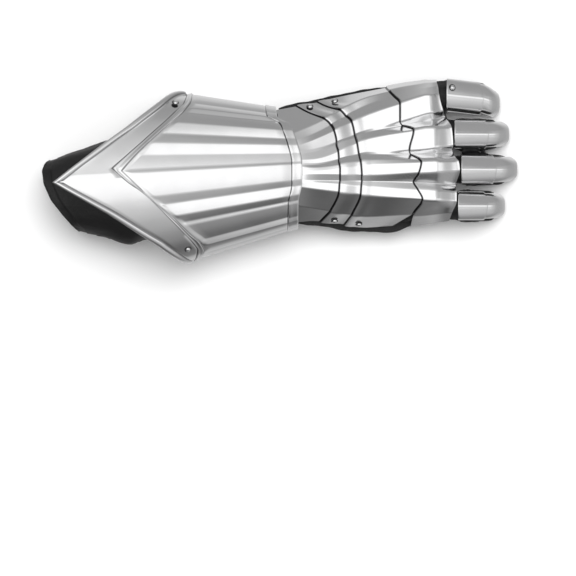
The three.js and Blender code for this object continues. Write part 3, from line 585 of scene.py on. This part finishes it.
def hand_plate(name, node_name, rows):
    """rows: (x for each column, lift). Built from the index side so it faces outwards."""
    x = np.array([row[0] for row in rows])[:, ::-1]
    s = ACROSS[::-1]
    points = hand_surface(s, x)
    normals = broad_normals(points)
    lifts = np.array([np.broadcast_to(row[1], ACROSS.shape) for row in rows])[:, ::-1]
    points = points + normals * lifts[..., None]
    # Painted shadow along the edges of the plates that lap over this one.
    dark = np.array([row[2] if len(row) > 2 else 0 for row in rows])[:, None]
    plate = sheet_object(name, points, LAME, steel, normals=normals, painted_shade=dark)
    return finish_piece(plate, "steel", node_name)


def edge_rows(edge, lift, inward=(0, 0.25, 0.6, 1.1, 2, 3.5)):
    """Rows at a plate's rear edge, which is rounded over."""
    return [(edge + d, lift - 0.5 * math.exp(-d / 0.3)) for d in inward]


def passing_under(edge):
    """Rows of a plate round the edge of the plate that lies over it, with painted shadow along that edge."""
    shades = [(-1.5, 0), (-1.05, 0.9), (-0.5, 1), (0.2, 1), (1, 0.6), (2, 0)]
    return [(edge + d, 0, dark) for d, dark in shades]


def span(a, b, lift_a, lift_b, steps):
    return [(mix(a, b, t), mix(lift_a, lift_b, smooth(t))) for t in np.linspace(0, 1, steps + 1)[1:]]


def hand_plates():
    rear = [edge_line(values) for values in (REAR_1, REAR_2, REAR_3, REAR_4)]
    front_3 = edge_line(FRONT_3)
    hand_plate("steel_lame_1", "lame_1",
               edge_rows(rear[0], 0) + span(rear[0] + 3.5, rear[1] - 2.2, 0, 0, 12)
               + passing_under(rear[1]) + span(rear[1] + 2, rear[1] + 7, 0, 0, 2))
    hand_plate("steel_lame_2", "lame_2",
               edge_rows(rear[1], LAP) + span(rear[1] + 3.5, rear[2] - 2.2, LAP, 0, 8)
               + passing_under(rear[2]) + span(rear[2] + 2, rear[2] + 7, 0, 0, 2))
    end = np.minimum(rear[3] - 2.2, front_3 - 5.5)
    under = [(np.minimum(x, front_3 - 0.6 + 0.1 * k), lift, dark)
             for k, (x, lift, dark) in enumerate(passing_under(rear[3]))]
    hand_plate("steel_lame_3", "lame_3",
               edge_rows(rear[2], LAP) + span(rear[2] + 3.5, rear[2] + 9, LAP, 0.9, 3)
               + span(rear[2] + 9, end, 0.9, 0, 16) + under + [(front_3, 0)])
    lip = edge_line([line[2][0] for line in HAND_LINES])
    start = np.maximum(front_3 + 1.2, rear[3] + 4)
    hand_plate("steel_knuckle_plate", "knuckle_plate",
               edge_rows(rear[3], LAP, (0, 0.25, 0.6, 1.1, 1.8, 2.6))
               + span(rear[3] + 2.6, start, LAP, LAP, 2) + span(start, lip, LAP, 0, 26))


hand_plates()


# ---- fingers

FINGERS = {
    "little": dict(half=14, x=(141.5, 173, 187), y=(64.5, 61.5, 57.5), z=(46.5, 31.5, 11)),
    "ring": dict(half=12.2, x=(148.2, 177.5, 195), y=(31, 31, 31.5), z=(53.5, 36, 11)),
    "middle": dict(half=12.2, x=(154, 184, 202), y=(1, 1, 1.5), z=(56, 37, 11)),
    "index": dict(half=12.2, x=(151.2, 176.5, 191.5), y=(-30, -30, -29.5), z=(53, 36.5, 11)),
}


def crest(finger, x):
    x0, x1, x2 = finger["x"]
    z0, z1, z2 = finger["z"]
    y0, y1, y2 = finger["y"]
    slope = (z1 - z0) / (x1 - x0)
    u = np.clip((x - x1) / (x2 - x1), 0, None)
    fall = z1 + slope * (x2 - x1) - z2
    y = np.where(x < x1, mix(y0, y1, (x - x0) / (x1 - x0)), mix(y1, y2, u))
    return y, z0 + slope * (x - x0) - fall * u ** 3


def section(count=41):
    """Half-round section: part of the half width, and drop below the crest."""
    t = np.radians(np.linspace(-90, 90, count))
    out = np.sin(t)
    drop = 9.5 * (1 - np.cos(t))
    drop = drop + 0.35 * (1 - np.exp(-np.abs(out) * 9)) * (1 - np.abs(out))
    return out, drop


def finger_plates():
    out, drop = section()
    for name, finger in FINGERS.items():
        rear, front, end = finger["x"]
        rows = []
        length = front - rear
        steps = [0, 0.25, 0.6, 1.2, 2.2, *np.linspace(4, length - 2, 10)]
        steps += [length - 1, length - 0.5, length - 0.15, length]
        for d in steps:
            t = d / length
            y, z = crest(finger, rear + d)
            ease = -0.3 * math.exp(-d / 0.35) - 0.3 * math.exp(-(length - d) / 0.35)
            across = y + out * (finger["half"] + ease)
            rows.append(np.stack([rear + d - 3 * out * out * t, across, z + ease - drop], axis=-1))
        plate = sheet_object(f"steel_{name}_plate", np.array(rows), LAME, steel)
        finish_piece(plate, "steel", f"{name}_plate")
        rows = []
        for t in (*np.linspace(0, 0.9, 16), 0.94, 0.97, 0.985, 1.0):
            x = mix(front - 8, end, t)
            y, z = crest(finger, x)
            narrow = 0.9 - 0.04 * t * t
            low = z - LAP - 0.4 * (1 - t) - drop * 0.95
            rows.append(np.stack([
                x - 6 * out ** 4 * t * t, y + out * finger["half"] * narrow, np.maximum(2.4, low)], axis=-1))
        finish_piece(sheet_object(f"steel_{name}_tip", np.array(rows), LAME, steel), "steel", f"{name}_tip")


finger_plates()


# ---- thumb

THUMB_ROOT = np.array([60.0, -38.0, 17.5])
THUMB_END = np.array([130.0, 8.0, 12.8])
THUMB_HALF = 11
THUMB_LENGTH = float(np.linalg.norm(THUMB_END - THUMB_ROOT))
THUMB_AXIS = (THUMB_END - THUMB_ROOT) / THUMB_LENGTH
THUMB_SIDE = np.cross((0, 0, 1), THUMB_AXIS)
THUMB_SIDE = THUMB_SIDE / np.linalg.norm(THUMB_SIDE)
THUMB_DOWN = np.cross(THUMB_SIDE, THUMB_AXIS)


def thumb_point(t, radius, angle):
    """Point round the thumb; angles are from straight down."""
    centre = THUMB_ROOT + (THUMB_END - THUMB_ROOT) * t
    a = np.radians(angle)[..., None]
    return centre + radius[..., None] * (THUMB_DOWN * np.cos(a) + THUMB_SIDE * np.sin(a))


def thumb_shell(name, node_name, stations, bead_side):
    ts, radii, reaches = (column(stations, k) for k in range(3))
    k = np.linspace(1, -1, 49)
    edge = np.minimum(1 - k, 1 + k) if bead_side == 0 else (1 - k if bead_side > 0 else 1 + k)
    rows = []
    for t in np.linspace(ts[0], ts[-1], 34):
        radius = float(curve_through(ts, radii, t))
        reach = float(curve_through(ts, reaches, t))
        bead = 0.8 * np.exp(-((edge * reach - 5) / 4.0) ** 2)
        room = np.clip(radius + bead, None, radius + 0.55)
        rows.append(thumb_point(t, room, k * reach))
    points = np.array(rows)
    points[..., 2] = np.maximum(points[..., 2], 0.5)
    return finish_piece(sheet_object(name, points, LAME, steel_band), "steel", node_name)


UNDER_THUMB = THUMB_HALF + GAP + LAME
thumb_shell("steel_thumb_plate", "thumb_plate", [
    (0.06, UNDER_THUMB, 44), (0.2, UNDER_THUMB + 0.4, 66), (0.42, UNDER_THUMB + 0.4, 68),
    (0.64, UNDER_THUMB, 58)], -1)
thumb_shell("steel_thumb_tip", "thumb_tip", [
    (0.57, UNDER_THUMB + LAP, 62), (0.67, UNDER_THUMB + LAP, 62), (0.8, UNDER_THUMB + 0.3, 62),
    (0.93, UNDER_THUMB, 58), (1.04, UNDER_THUMB - 1.2, 44)], 0)


# ---- rivets

def rivet(name):
    """Domed head on a thin washer, standing where the CAD rivet stands."""
    source = frame["nodes"][name]
    points = np.array([v.co for v in source.data.vertices]) / MM
    centre = points.mean(axis=0)
    spread = np.linalg.eigh(np.cov((points - centre).T))
    axis = spread[1][:, 0]
    along = (points - centre) @ axis
    wide = np.linalg.norm(points - centre - along[:, None] * axis, axis=1)
    if abs(along[wide > 2.4].mean() - along.min()) > abs(along[wide > 2.4].mean() - along.max()):
        axis, along = -axis, -along
    base = centre + axis * along.min()
    height = along.max() - along.min()
    u = np.cross(axis, (1, 0, 0) if abs(axis[0]) < 0.8 else (0, 1, 0))
    u = u / np.linalg.norm(u)
    v = np.cross(axis, u)
    profile = [(0, 0), (2.95, 0), (3.0, 0.12), (2.9, 0.24), (2.7, 0.27), (2.5, 0.24), (2.35, 0.3)]
    for a in np.radians(np.arange(10, 90, 10)):
        profile.append((2.2 * math.cos(a), 0.3 + (height - 0.3) * math.sin(a)))
    ring = 28
    verts, faces = [base], []
    for r, h in profile[1:]:
        for k in range(ring):
            a = 2 * math.pi * k / ring
            verts.append(base + axis * h + r * (u * math.cos(a) + v * math.sin(a)))
    verts.append(base + axis * height)
    top = len(verts) - 1
    for k in range(ring):
        n = (k + 1) % ring
        faces.append((0, 1 + n, 1 + k))
        for row in range(len(profile) - 2):
            a = 1 + row * ring
            faces.append((a + k, a + n, a + ring + n, a + ring + k))
        last = 1 + (len(profile) - 2) * ring
        faces.append((last + k, last + n, top))
    head = make_object(f"steel_{name}", verts, faces, rivet_steel, 40)
    # Painted shade: the colour of the washer and the foot of the dome is darkened, while the dome keeps the steel's
    # colour.
    dark = [0.95 if r > 2.2 else 0.85 if h < 0.31 else 0.0 for r, h in profile[1:]]
    rim = [1.0, *np.repeat(dark, ring), 0.0]
    head.data.attributes.new("painted_shade", "FLOAT", "POINT").data.foreach_set("value", rim)
    return finish_piece(head, "rivet_steel", name)


for rivet_name in [name for name in frame["nodes"] if name.startswith("rivet_")]:
    rivet(rivet_name)


# ---- glove

WALL = 1.8
WRIST_SEAM = -3
SECTION_X = [-215, -190, -172, -150, -128, -116, -90, -50, -12, 8, 27, 50, 76, 92, 108, 124, 131, 137, 140.5]
SECTION_LITTLE = [2, 9, 15.5, 23, 28.5, 30.5, 34, 39, 46, 50, 55, 60, 64, 66, 68.5, 71, 71, 70, 66]
SECTION_THUMB = [
    -46, -47, -50, -54, -61, -55.8, -54, -48, -44, -43.5, -42, -44, -45, -45, -44, -42, -41, -39, -35,
]
SECTION_SIDE = [40, 40, 40, 40, 40, 40, 38, 36, 34, 33, 31, 29.5, 34, 36, 36, 35, 34, 33, 33]
SECTION_TOP = [70, 72, 73, 74, 73, 73, 71, 68, 64, 62, 61, 59, 57, 55, 52.5, 49, 47, 45, 41]
SECTION_BOTTOM = [12, 10, 8, 6, 4, 4, 3, 3, 4, 6, 10, 16, 24.5, 28.5, 28.5, 27, 26, 25, 28]
# The mouth's outline seen from above: x at each y.
MOUTH_Y = [-58, -48, -37, -25, -12, -2, 3, 7.5, 12]
MOUTH_X = [-162, -174, -185, -195, -201, -202.3, -200.5, -196, -190]


def folds(points, size, seed):
    """Soft uneven folds, as a height for each point."""
    return np.array([noise.fractal(Vector(p) / size + Vector((seed, 0, 0)), 0.9, 2.0, 3) for p in points])


def body_ring(x, theta):
    """Glove section at x: a squarish oval, theta counted from the little finger's side."""
    little, thumb, side, top, bottom = (
        curve_through(SECTION_X, values, x)
        for values in (SECTION_LITTLE, SECTION_THUMB, SECTION_SIDE, SECTION_TOP, SECTION_BOTTOM))
    c, s = np.cos(theta), np.sin(theta)
    y = (little + thumb) / 2 + (little - thumb) / 2 * np.sign(c) * np.abs(c) ** 0.85
    tall = np.where(s > 0, top - side, side - bottom)
    z = side + tall * np.sign(s) * np.abs(s) ** 0.85
    return np.stack(np.broadcast_arrays(x, y, z), axis=-1)


def mouth_line(theta):
    """x of the slanting mouth at each place round the section."""
    mouth = np.full_like(theta, -190.0)
    for _ in range(30):
        y = body_ring(mouth, theta)[:, 1]
        mouth = 0.5 * mouth + 0.5 * np.interp(y, MOUTH_Y, MOUTH_X)
    return mouth


def closed_normals(points):
    """Normals of a grid whose columns run round a closed ring, pointing out."""
    wide = np.concatenate([points[:, -2:-1], points, points[:, 1:2]], axis=1)
    return grid_normals(wide)[:, 1:-1]


def closed_tube(name, rows, material, sharp=60):
    """Closed skin through rings (first and last column are the same place)."""
    count, cols = rows.shape[0], rows.shape[1] - 1
    points = rows[:, :-1].reshape(-1, 3)
    faces = []
    for i in range(count):
        for j in range(cols):
            n, k = (i + 1) % count, (j + 1) % cols
            faces.append((i * cols + j, i * cols + k, n * cols + k, n * cols + j))
    return make_object(name, points, faces, material, sharp)


def leather_cuff():
    """The glove's cuff: one sheet of leather with a turned hem at its slanting mouth."""
    theta = np.linspace(0, 2 * math.pi, 141)
    mouth = mouth_line(theta)
    end = -2.0
    along = [0, 0.4, 1.2, 2.2, 4, 6, 7, 7.4, 7.9, 9]
    hem = {0: -0.7, 0.4: -0.1, 1.2: 0.45, 2.2: 0.6, 4: 0.5, 6: 0.55, 7: 0.45, 7.4: 0.15, 7.9: -0.15}
    stations = [(mouth + d, hem.get(d, 0.0)) for d in along]
    stations += [(mix(mouth + 9, end, t), 0.0) for t in np.linspace(0, 1, 64)[1:]]
    outer = np.array([body_ring(x, theta) for x, _ in stations])
    normal = closed_normals(outer)
    flat = outer.reshape(-1, 3)
    wave = folds(flat * (0.45, 1, 1), 17.0, 3.0).reshape(outer.shape[:2])
    crease = folds(flat * (1, 0.5, 0.5), 6.0, 9.0).reshape(outer.shape[:2])
    wave[:, -1], crease[:, -1] = wave[:, 0], crease[:, 0]
    lift = np.array([row[1] for row in stations])[:, None] + 0.9 * wave - 0.25 * np.abs(crease)
    lift = lift - 1.6 * smooth((outer[..., 0] + 14) / 10)  # tucked into the hand at the wrist seam
    outer = outer + normal * lift[..., None]
    inner = outer - normal * WALL
    inner[0] = outer[0] - normal[0] * 1.2
    skin = closed_tube("leather_cuff", np.concatenate([outer[::-1], inner]), leather)
    finish_piece(skin, "leather", "glove_cuff_top", "glove_cuff_under")
    return skin


def glove_ring_points(finger, x, size, count=36):
    """Section of a glove finger, flat underneath where it meets the ground."""
    y, z = crest(finger, x)
    z = min(float(z), finger["z"][0])
    wide = 0.86 if x < finger["x"][0] else 1.02
    half = [(0, 3.8), (6, 5.4), (9.4, 9.4), (10.4, 12.6), (14.3, 16), (14.3, 20), (10.5, 25.5), (0, 27.3)]
    ring = half + [(-out, drop) for out, drop in half[-2:0:-1]]
    ring = [(float(y) + out * wide * size, max(0.5, z - 15.5 * size - (drop - 15.5) * size))
            for out, drop in ring]
    loop = np.array(ring + ring[:1])
    gone = np.concatenate([[0], np.cumsum(np.linalg.norm(np.diff(loop, axis=0), axis=1))])
    at = np.linspace(0, gone[-1], count + 1)[:-1]
    y, z = (np.interp(at, gone, loop[:, k]) for k in (0, 1))
    return np.stack([np.full(count, x), y, z], axis=-1)


def solid_loft(rings):
    """Points and faces of a closed solid through rings of equal point count."""
    cols = len(rings[0])
    points = [p for ring in rings for p in ring]
    faces = []
    for i in range(len(rings) - 1):
        for j in range(cols):
            a, b = i * cols + j, i * cols + (j + 1) % cols
            faces.append((a, b, b + cols, a + cols))
    faces.append(tuple(range(cols))[::-1])
    faces.append(tuple(range((len(rings) - 1) * cols, len(rings) * cols)))
    return points, faces


def merged(parts):
    """Points and faces of many parts as one list of each."""
    points, faces = [], []
    for part_points, part_faces in parts:
        start = len(points)
        points += list(part_points)
        faces += [tuple(start + k for k in face) for face in part_faces]
    return points, faces


def faces_tree(objects):
    """All the faces of some objects, in millimetres, as one tree."""
    return BVHTree.FromPolygons(*merged([
        ([v.co / MM for v in obj.data.vertices], [p.vertices for p in obj.data.polygons])
        for obj in objects]))


def hand_solid():
    """Body, fingers and thumb as overlapping solids, to be fused into one skin."""
    theta = np.linspace(0, 2 * math.pi, 57)[:-1]
    body_x = (*np.linspace(-12, 136, 38), 140.5)
    parts = [solid_loft([body_ring(np.full_like(theta, x), theta) for x in body_x])]
    for finger in FINGERS.values():
        root, front, end = finger["x"]
        stops = [(root - 22, 1), (root - 8, 1), (root, 1), ((root + front) / 2, 0.99), (front, 0.95),
                 (mix(front, end, 0.4), 0.88), (mix(front, end, 0.7), 0.76), (end - 3, 0.52)]
        xs = np.linspace(stops[0][0], stops[-1][0], 26)
        sizes = np.interp(xs, column(stops, 0), column(stops, 1))
        parts.append(solid_loft([glove_ring_points(finger, x, size) for x, size in zip(xs, sizes)]))
    angles = np.linspace(0, 360, 33)[:-1]
    rings = []
    for t in np.linspace(0, 1.01, 24):
        size = np.interp(t, [0, 0.5, 0.84, 0.95, 1.01], [1, 1, 0.97, 0.82, 0.5])
        rings.append(thumb_point(t, np.full(32, THUMB_HALF * size), angles))
    parts.append(solid_loft(rings))
    return merged(parts)


def hand_steel():
    """The steel pieces that the leather of the hand has to stay beneath."""
    return [obj for obj in bpy.context.scene.objects
            if obj.name.startswith("steel_") and "rivet" not in obj.name and "cuff" not in obj.name]


def leather_hand():
    """Hand of the glove: fused, softened, creased, kept under the plates, then hollowed."""
    points, faces = hand_solid()
    rough = make_object("rough_hand", points, faces, leather)
    fuse = rough.modifiers.new("fuse", "REMESH")
    fuse.mode = "VOXEL"
    fuse.voxel_size = 1.7 * MM
    deps = bpy.context.evaluated_depsgraph_get()
    mesh = bpy.data.meshes.new_from_object(rough.evaluated_get(deps))
    bpy.data.objects.remove(rough)
    verts = np.array([v.co for v in mesh.vertices]) / MM
    edges = np.array([tuple(e.vertices) for e in mesh.edges])
    ends = np.concatenate([edges[:, 0], edges[:, 1]])
    others = np.concatenate([edges[:, 1], edges[:, 0]])
    degree = np.bincount(ends, minlength=len(verts))

    def average(values):
        return np.stack([
            np.bincount(ends, weights=values[others, k], minlength=len(verts)) / degree
            for k in range(values.shape[1])], axis=-1)

    for _ in range(10):
        verts = mix(verts, average(verts), 0.55)
    mesh.vertices.foreach_set("co", (verts * MM).ravel())
    mesh.update()
    normals = np.array([v.normal for v in mesh.vertices])
    wave = folds(verts, 16.0, 5.0)
    crease = 1 - np.abs(folds(verts * (1.6, 0.6, 1), 9.0, 2.0)) * 2.2
    lift = 0.5 * wave - 0.45 * np.clip(crease, 0, 1) ** 4
    verts = verts + normals * lift[:, None]
    # Pull in whatever would reach the steel.
    tree = faces_tree(hand_steel())
    part = np.ones(len(verts))
    middle = (np.array(SECTION_LITTLE) + SECTION_THUMB) / 2
    centres = np.stack([
        verts[:, 0],
        curve_through(SECTION_X, middle, verts[:, 0]),
        curve_through(SECTION_X, SECTION_SIDE, verts[:, 0])], axis=-1)
    on_finger = verts[:, 0] > 139
    mids = np.array([31.0, 1.0, -30.0, 63.0])
    nearest = mids[np.argmin(np.abs(verts[:, 1:2] - mids), axis=1)]
    centres[on_finger, 1] = nearest[on_finger]
    centres[on_finger, 2] = np.clip(44 - 0.72 * (verts[on_finger, 0] - 139), 9, 34)
    for k, (p, c) in enumerate(zip(verts, centres)):
        way = Vector(p - c)
        length = way.length
        hit = tree.ray_cast(Vector(c), way / length, length + 1.2)
        if hit[0] is not None:
            part[k] = min(1.0, (hit[3] - 1.0) / length)
    soft = part.copy()
    for _ in range(6):
        soft = np.minimum(part, mix(soft, average(soft[:, None])[:, 0], 0.8))
    verts = centres + (verts - centres) * soft[:, None]
    verts[:, 2] = np.maximum(verts[:, 2], 0.4)
    mesh.vertices.foreach_set("co", (verts * MM).ravel())
    work = bmesh.new()
    work.from_mesh(mesh)
    bmesh.ops.bisect_plane(
        work, geom=work.verts[:] + work.edges[:] + work.faces[:], plane_co=(WRIST_SEAM * MM, 0, 0),
        plane_no=(1, 0, 0), clear_inner=True)
    work.to_mesh(mesh)
    work.free()
    mesh.update()
    mesh.materials.clear()
    mesh.materials.append(leather)
    shell = bpy.data.objects.new("leather_hand", mesh)
    bpy.context.scene.collection.objects.link(shell)
    wall = shell.modifiers.new("wall", "SOLIDIFY")
    wall.thickness = WALL * MM
    wall.offset = -1
    deps = bpy.context.evaluated_depsgraph_get()
    shell.data = bpy.data.meshes.new_from_object(shell.evaluated_get(deps))
    shell.modifiers.clear()
    shell.data.name = "leather_hand"
    shell.data.shade_smooth()
    finish_piece(shell, "leather", "glove_back", "glove_palm", "glove_little", "glove_ring", "glove_middle",
                 "glove_index", "glove_thumb")
    return shell


def lay_on(tree, rough, step):
    """Even points along a rough path, laid on the leather, with the leather's normals."""
    rough = np.array(rough, float)
    gone = np.concatenate([[0], np.cumsum(np.linalg.norm(np.diff(rough, axis=0), axis=1))])
    at = np.arange(0, gone[-1], step)
    path = np.stack([np.interp(at, gone, rough[:, k]) for k in range(3)], axis=-1)
    laid = [tree.find_nearest(Vector(p)) for p in path]
    return np.array([hit[0] for hit in laid]), np.array([hit[1] for hit in laid])


def sweep(path, normals, profile):
    """Tube along a path; profile gives (sideways, up) round it."""
    along = np.gradient(path, axis=0)
    along = along / np.linalg.norm(along, axis=1, keepdims=True)
    side = np.cross(normals, along)
    side = side / np.linalg.norm(side, axis=1, keepdims=True)
    up = np.cross(along, side)
    rings = [[p + s * a + u * b for a, b in profile] for p, s, u in zip(path, side, up)]
    return solid_loft(rings)


def round_profile(half, low, high, count=10):
    a = np.linspace(0, 2 * math.pi, count + 1)[:-1]
    return [(half * math.cos(t), mix(low, high, (math.sin(t) + 1) / 2)) for t in a]


def stitch_row(path, normals):
    """Short raised stitches, one for each pair of points of the path."""
    parts = []
    for k in range(0, len(path) - 1, 2):
        a, b = path[k], path[k + 1]
        mid = (a + b) / 2
        line = np.array([a, mix(a, mid, 0.4), mid, mix(b, mid, 0.4), b])
        rise = np.array([-0.25, 0.16, 0.28, 0.16, -0.25])
        n = np.repeat(normals[k][None], 5, axis=0)
        parts.append(sweep(line + n * rise[:, None], n, round_profile(0.34, -0.3, 0.3, 6)))
    return parts


def seams_and_stitches(cuff, hand):
    tree = faces_tree([cuff, hand])
    welts, threads = [], []

    def seam(rough, beside=2.2):
        """Raised welt along a rough path, with a row of stitches beside it."""
        path, normals = lay_on(tree, rough, 1.4)
        welts.append(sweep(path, normals, round_profile(0.85, -0.8, 0.75)))
        along = np.gradient(path, axis=0)
        side = np.cross(normals, along)
        side = side / np.maximum(np.linalg.norm(side, axis=1, keepdims=True), 1e-6)
        row, row_normals = lay_on(tree, path + side * beside, 1.5)
        threads.extend(stitch_row(row, row_normals))

    # Along both sides of the cuff and the hand, and round the thumb.
    seam([(-190, 9, 40), (-150, 23, 40), (-90, 34, 38), (-50, 39, 36), (-12, 46, 34), (27, 55, 31),
          (60, 62, 31), (100, 68, 35), (128, 72, 34)])
    seam([(-168, -51, 40), (-128, -61, 40), (-90, -54, 38), (-50, -48, 36), (-12, -44, 34), (27, -43, 31),
          (48, -46, 30)])
    seam([(84, -46, 33), (108, -44, 34), (128, -42, 34)])
    around = []
    for angle in np.linspace(-30, 210, 19):
        t = math.radians(angle)
        around.append((64 + 19 * math.sin(t), -30 - 17 * math.cos(t), 12))
    seam(around)
    # Below, from the thumb to the wrist, and between the fingers.
    seam([(-2, -30, 5), (20, -34, 8), (44, -36, 12)])
    for y in (46.5, 16, -14.5):
        seam([(118, y, 24), (140, y, 22)])
    for finger in FINGERS.values():
        xs = np.linspace(finger["x"][0] - 2, finger["x"][2] - 9, 8)
        for side in (-1, 1):
            path = []
            for x in xs:
                y, z = crest(finger, x)
                path.append((x, float(y) + side * 12.5, float(min(z, 50)) - 24))
            seam(path, -1.9 * side)
    # Round the mouth, inside the hem.
    theta = np.linspace(0, 2 * math.pi, 200)
    path, normals = lay_on(tree, body_ring(mouth_line(theta) + 6.0, theta), 1.5)
    threads.extend(stitch_row(path, normals))
    finish_piece(make_object("leather_welts", *merged(welts), leather, SEWN_SHARP), "leather")
    finish_piece(make_object("leather_stitches", *merged(threads), thread, SEWN_SHARP), "leather")


# Section of a seam strip: part of the way out, and height. The notch parts its two layers.
STRIP_PROFILE = [
    (0, -1.1), (0.5, -1.2), (0.9, -1.25), (0.985, -0.9), (1, -0.2), (0.99, 0), (1, 0.25), (0.985, 0.95),
    (0.9, 1.2), (0.5, 1.2), (0, 1.1),
]


def edge_strips():
    """Strips of doubled, stitched leather that stand out along the lames' side edges."""
    little = [(-1.6, 53.4), (14, 57.6), (27, 60), (50, 65), (66, 68.4), (76, 69.8), (118, 75.5)]
    index = [(12, -45.2), (34, -47.3), (56, -51.2), (76, -52.3), (94, -52.6), (112, -47.2), (118, -46.2)]
    threads = []
    for name, table, line, side in (("little", little, 0, 1), ("index", index, LINES - 1, -1)):
        xs = np.linspace(table[0][0], table[-1][0], 90)
        wavy = 0.25 * np.sin(xs / 5.3) + 0.15 * np.sin(xs / 2.1)
        out = curve_through(column(table, 0), column(table, 1), xs) + wavy
        edge_y, edge_z = line_point(line, xs)
        inside = edge_y - side * 7
        z = edge_z - 5.0
        rings = []
        for x, o, i, h in zip(xs, out, inside, z):
            ring = []
            for t, up in STRIP_PROFILE:
                ring.append((x, mix(i, o, t), h + up))
            rings.append(ring if side > 0 else ring[::-1])
        finish_piece(make_object(f"leather_strip_{name}", *merged([solid_loft(rings)]), leather, SEWN_SHARP), "leather")
        row = np.stack([xs, out - side * 1.6, z + 1.25], axis=-1)
        gone = np.concatenate([[0], np.cumsum(np.linalg.norm(np.diff(row, axis=0), axis=1))])
        at = np.arange(1, gone[-1] - 1, 1.4)
        row = np.stack([np.interp(at, gone, row[:, k]) for k in range(3)], axis=-1)
        up = np.repeat([[0, 0, 1.0]], len(row), axis=0)
        threads += stitch_row(row, up)
        low = row - (0, 0, 2.5)
        threads += stitch_row(low, -up)
    finish_piece(make_object("leather_strip_stitches", *merged(threads), thread, SEWN_SHARP), "leather")


cuff_leather = leather_cuff()
hand_leather = leather_hand()
seams_and_stitches(cuff_leather, hand_leather)
edge_strips()


# ---- stage

def floor():
    size = 6.0
    material, _, shader = new_material("studio_floor")
    shader.inputs["Base Color"].default_value = (0.93, 0.93, 0.93, 1)
    shader.inputs["Roughness"].default_value = 0.9
    shader.inputs["Specular IOR Level"].default_value = 0.1
    mesh = bpy.data.meshes.new("floor")
    corners = [(-size, -size, 0), (size, -size, 0), (size, size, 0), (-size, size, 0)]
    mesh.from_pydata(corners, [], [(0, 1, 2, 3)])
    mesh.materials.append(material)
    obj = bpy.data.objects.new("floor", mesh)
    bpy.context.scene.collection.objects.link(obj)
    obj.location.z = -0.0003
    obj.visible_glossy = False


floor()


def studio_world():
    """Bright overhead, dimmer to the horizon and darkest on the index side and behind the cuff."""
    world = bpy.data.worlds.new("studio")
    world.use_nodes = True
    tree = world.node_tree
    tree.nodes.clear()
    coordinates = node(tree, "ShaderNodeTexCoord")
    split = node(tree, "ShaderNodeSeparateXYZ")
    tree.links.new(coordinates.outputs["Generated"], split.inputs["Vector"])

    def ramp(stops):
        made = node(tree, "ShaderNodeValToRGB")
        made.color_ramp.interpolation = "EASE"
        elements = made.color_ramp.elements
        while len(elements) > 1:
            elements.remove(elements[-1])
        for k, (elevation, value) in enumerate(stops):
            place = (math.sin(math.radians(elevation)) + 1) / 2
            element = elements[0] if k == 0 else elements.new(place)
            element.position = place
            element.color = (value, value, value, 1)
        height = to_range(tree, split.outputs["Z"], 0.0, 1.0, -1.0, 1.0)
        tree.links.new(height, made.inputs["Fac"])
        return made.outputs["Color"]

    def between(low, high, axis, start, end):
        made = node(tree, "ShaderNodeMix", data_type="RGBA")
        tree.links.new(to_range(tree, split.outputs[axis], 0.0, 1.0, start, end), made.inputs["Factor"])
        tree.links.new(low, made.inputs["A"])
        tree.links.new(high, made.inputs["B"])
        return made.outputs["Result"]

    light_side = ramp([
        (-80, 0.75), (-42, 0.65), (-25, 0.42), (0, 0.34), (15, 0.36), (35, 0.5), (56, 0.7), (68, 1.25)])
    dark_side = ramp([
        (-80, 0.6), (-48, 0.5), (-32, 0.2), (0, 0.09), (20, 0.2), (40, 0.38), (58, 0.6), (70, 1.25)])
    fingers_index = ramp([(-80, 0.36), (-20, 0.4), (0, 0.5), (25, 0.6), (50, 0.8), (66, 1.25)])
    fingers_little = ramp([(-80, 0.36), (-20, 0.34), (0, 0.36), (25, 0.36), (50, 0.6), (66, 1.25)])
    fingers_middle = ramp([(-80, 0.36), (-20, 0.42), (0, 0.6), (22, 1.1), (50, 1.2), (66, 1.3)])
    near_index = between(fingers_index, fingers_middle, "Y", -0.3, -0.08)
    fingertips = between(near_index, fingers_little, "Y", 0.06, 0.26)
    cuff_end = ramp([(-80, 0.5), (-40, 0.2), (-10, 0.03), (15, 0.05), (35, 0.3), (55, 0.8), (68, 1.25)])
    sides = between(dark_side, light_side, "Y", -0.25, 0.25)
    front = between(sides, fingertips, "X", 0.3, 0.8)
    rear = between(front, cuff_end, "X", -0.35, -0.8)
    background = node(tree, "ShaderNodeBackground")
    background.inputs["Strength"].default_value = 1.0
    output = node(tree, "ShaderNodeOutputWorld")
    tree.links.new(rear, background.inputs["Color"])
    tree.links.new(background.outputs["Background"], output.inputs["Surface"])
    bpy.context.scene.world = world


studio_world()


def key_light():
    """Large lamp above the little finger's side that whitens the floor."""
    data = bpy.data.lights.new("key", "SUN")
    data.energy = 2.1
    data.angle = math.radians(38)
    lamp = bpy.data.objects.new("key", data)
    bpy.context.scene.collection.objects.link(lamp)
    lamp.rotation_euler = Vector((0.02, 0.30, 1.0)).to_track_quat("Z", "Y").to_euler()
    lamp.visible_glossy = False


key_light()


def camera():
    data = bpy.data.cameras.new("camera")
    data.lens = 1000
    data.sensor_width = 36
    data.clip_start, data.clip_end = 1, 40
    made = bpy.data.objects.new("camera", data)
    bpy.context.scene.collection.objects.link(made)
    made.location = (0.0064, -0.0999, 0.060 + 0.4896 * 1000 / 36)
    bpy.context.scene.camera = made


camera()

scene = bpy.context.scene
scene.view_settings.view_transform = "Standard"
scene.view_settings.look = "None"
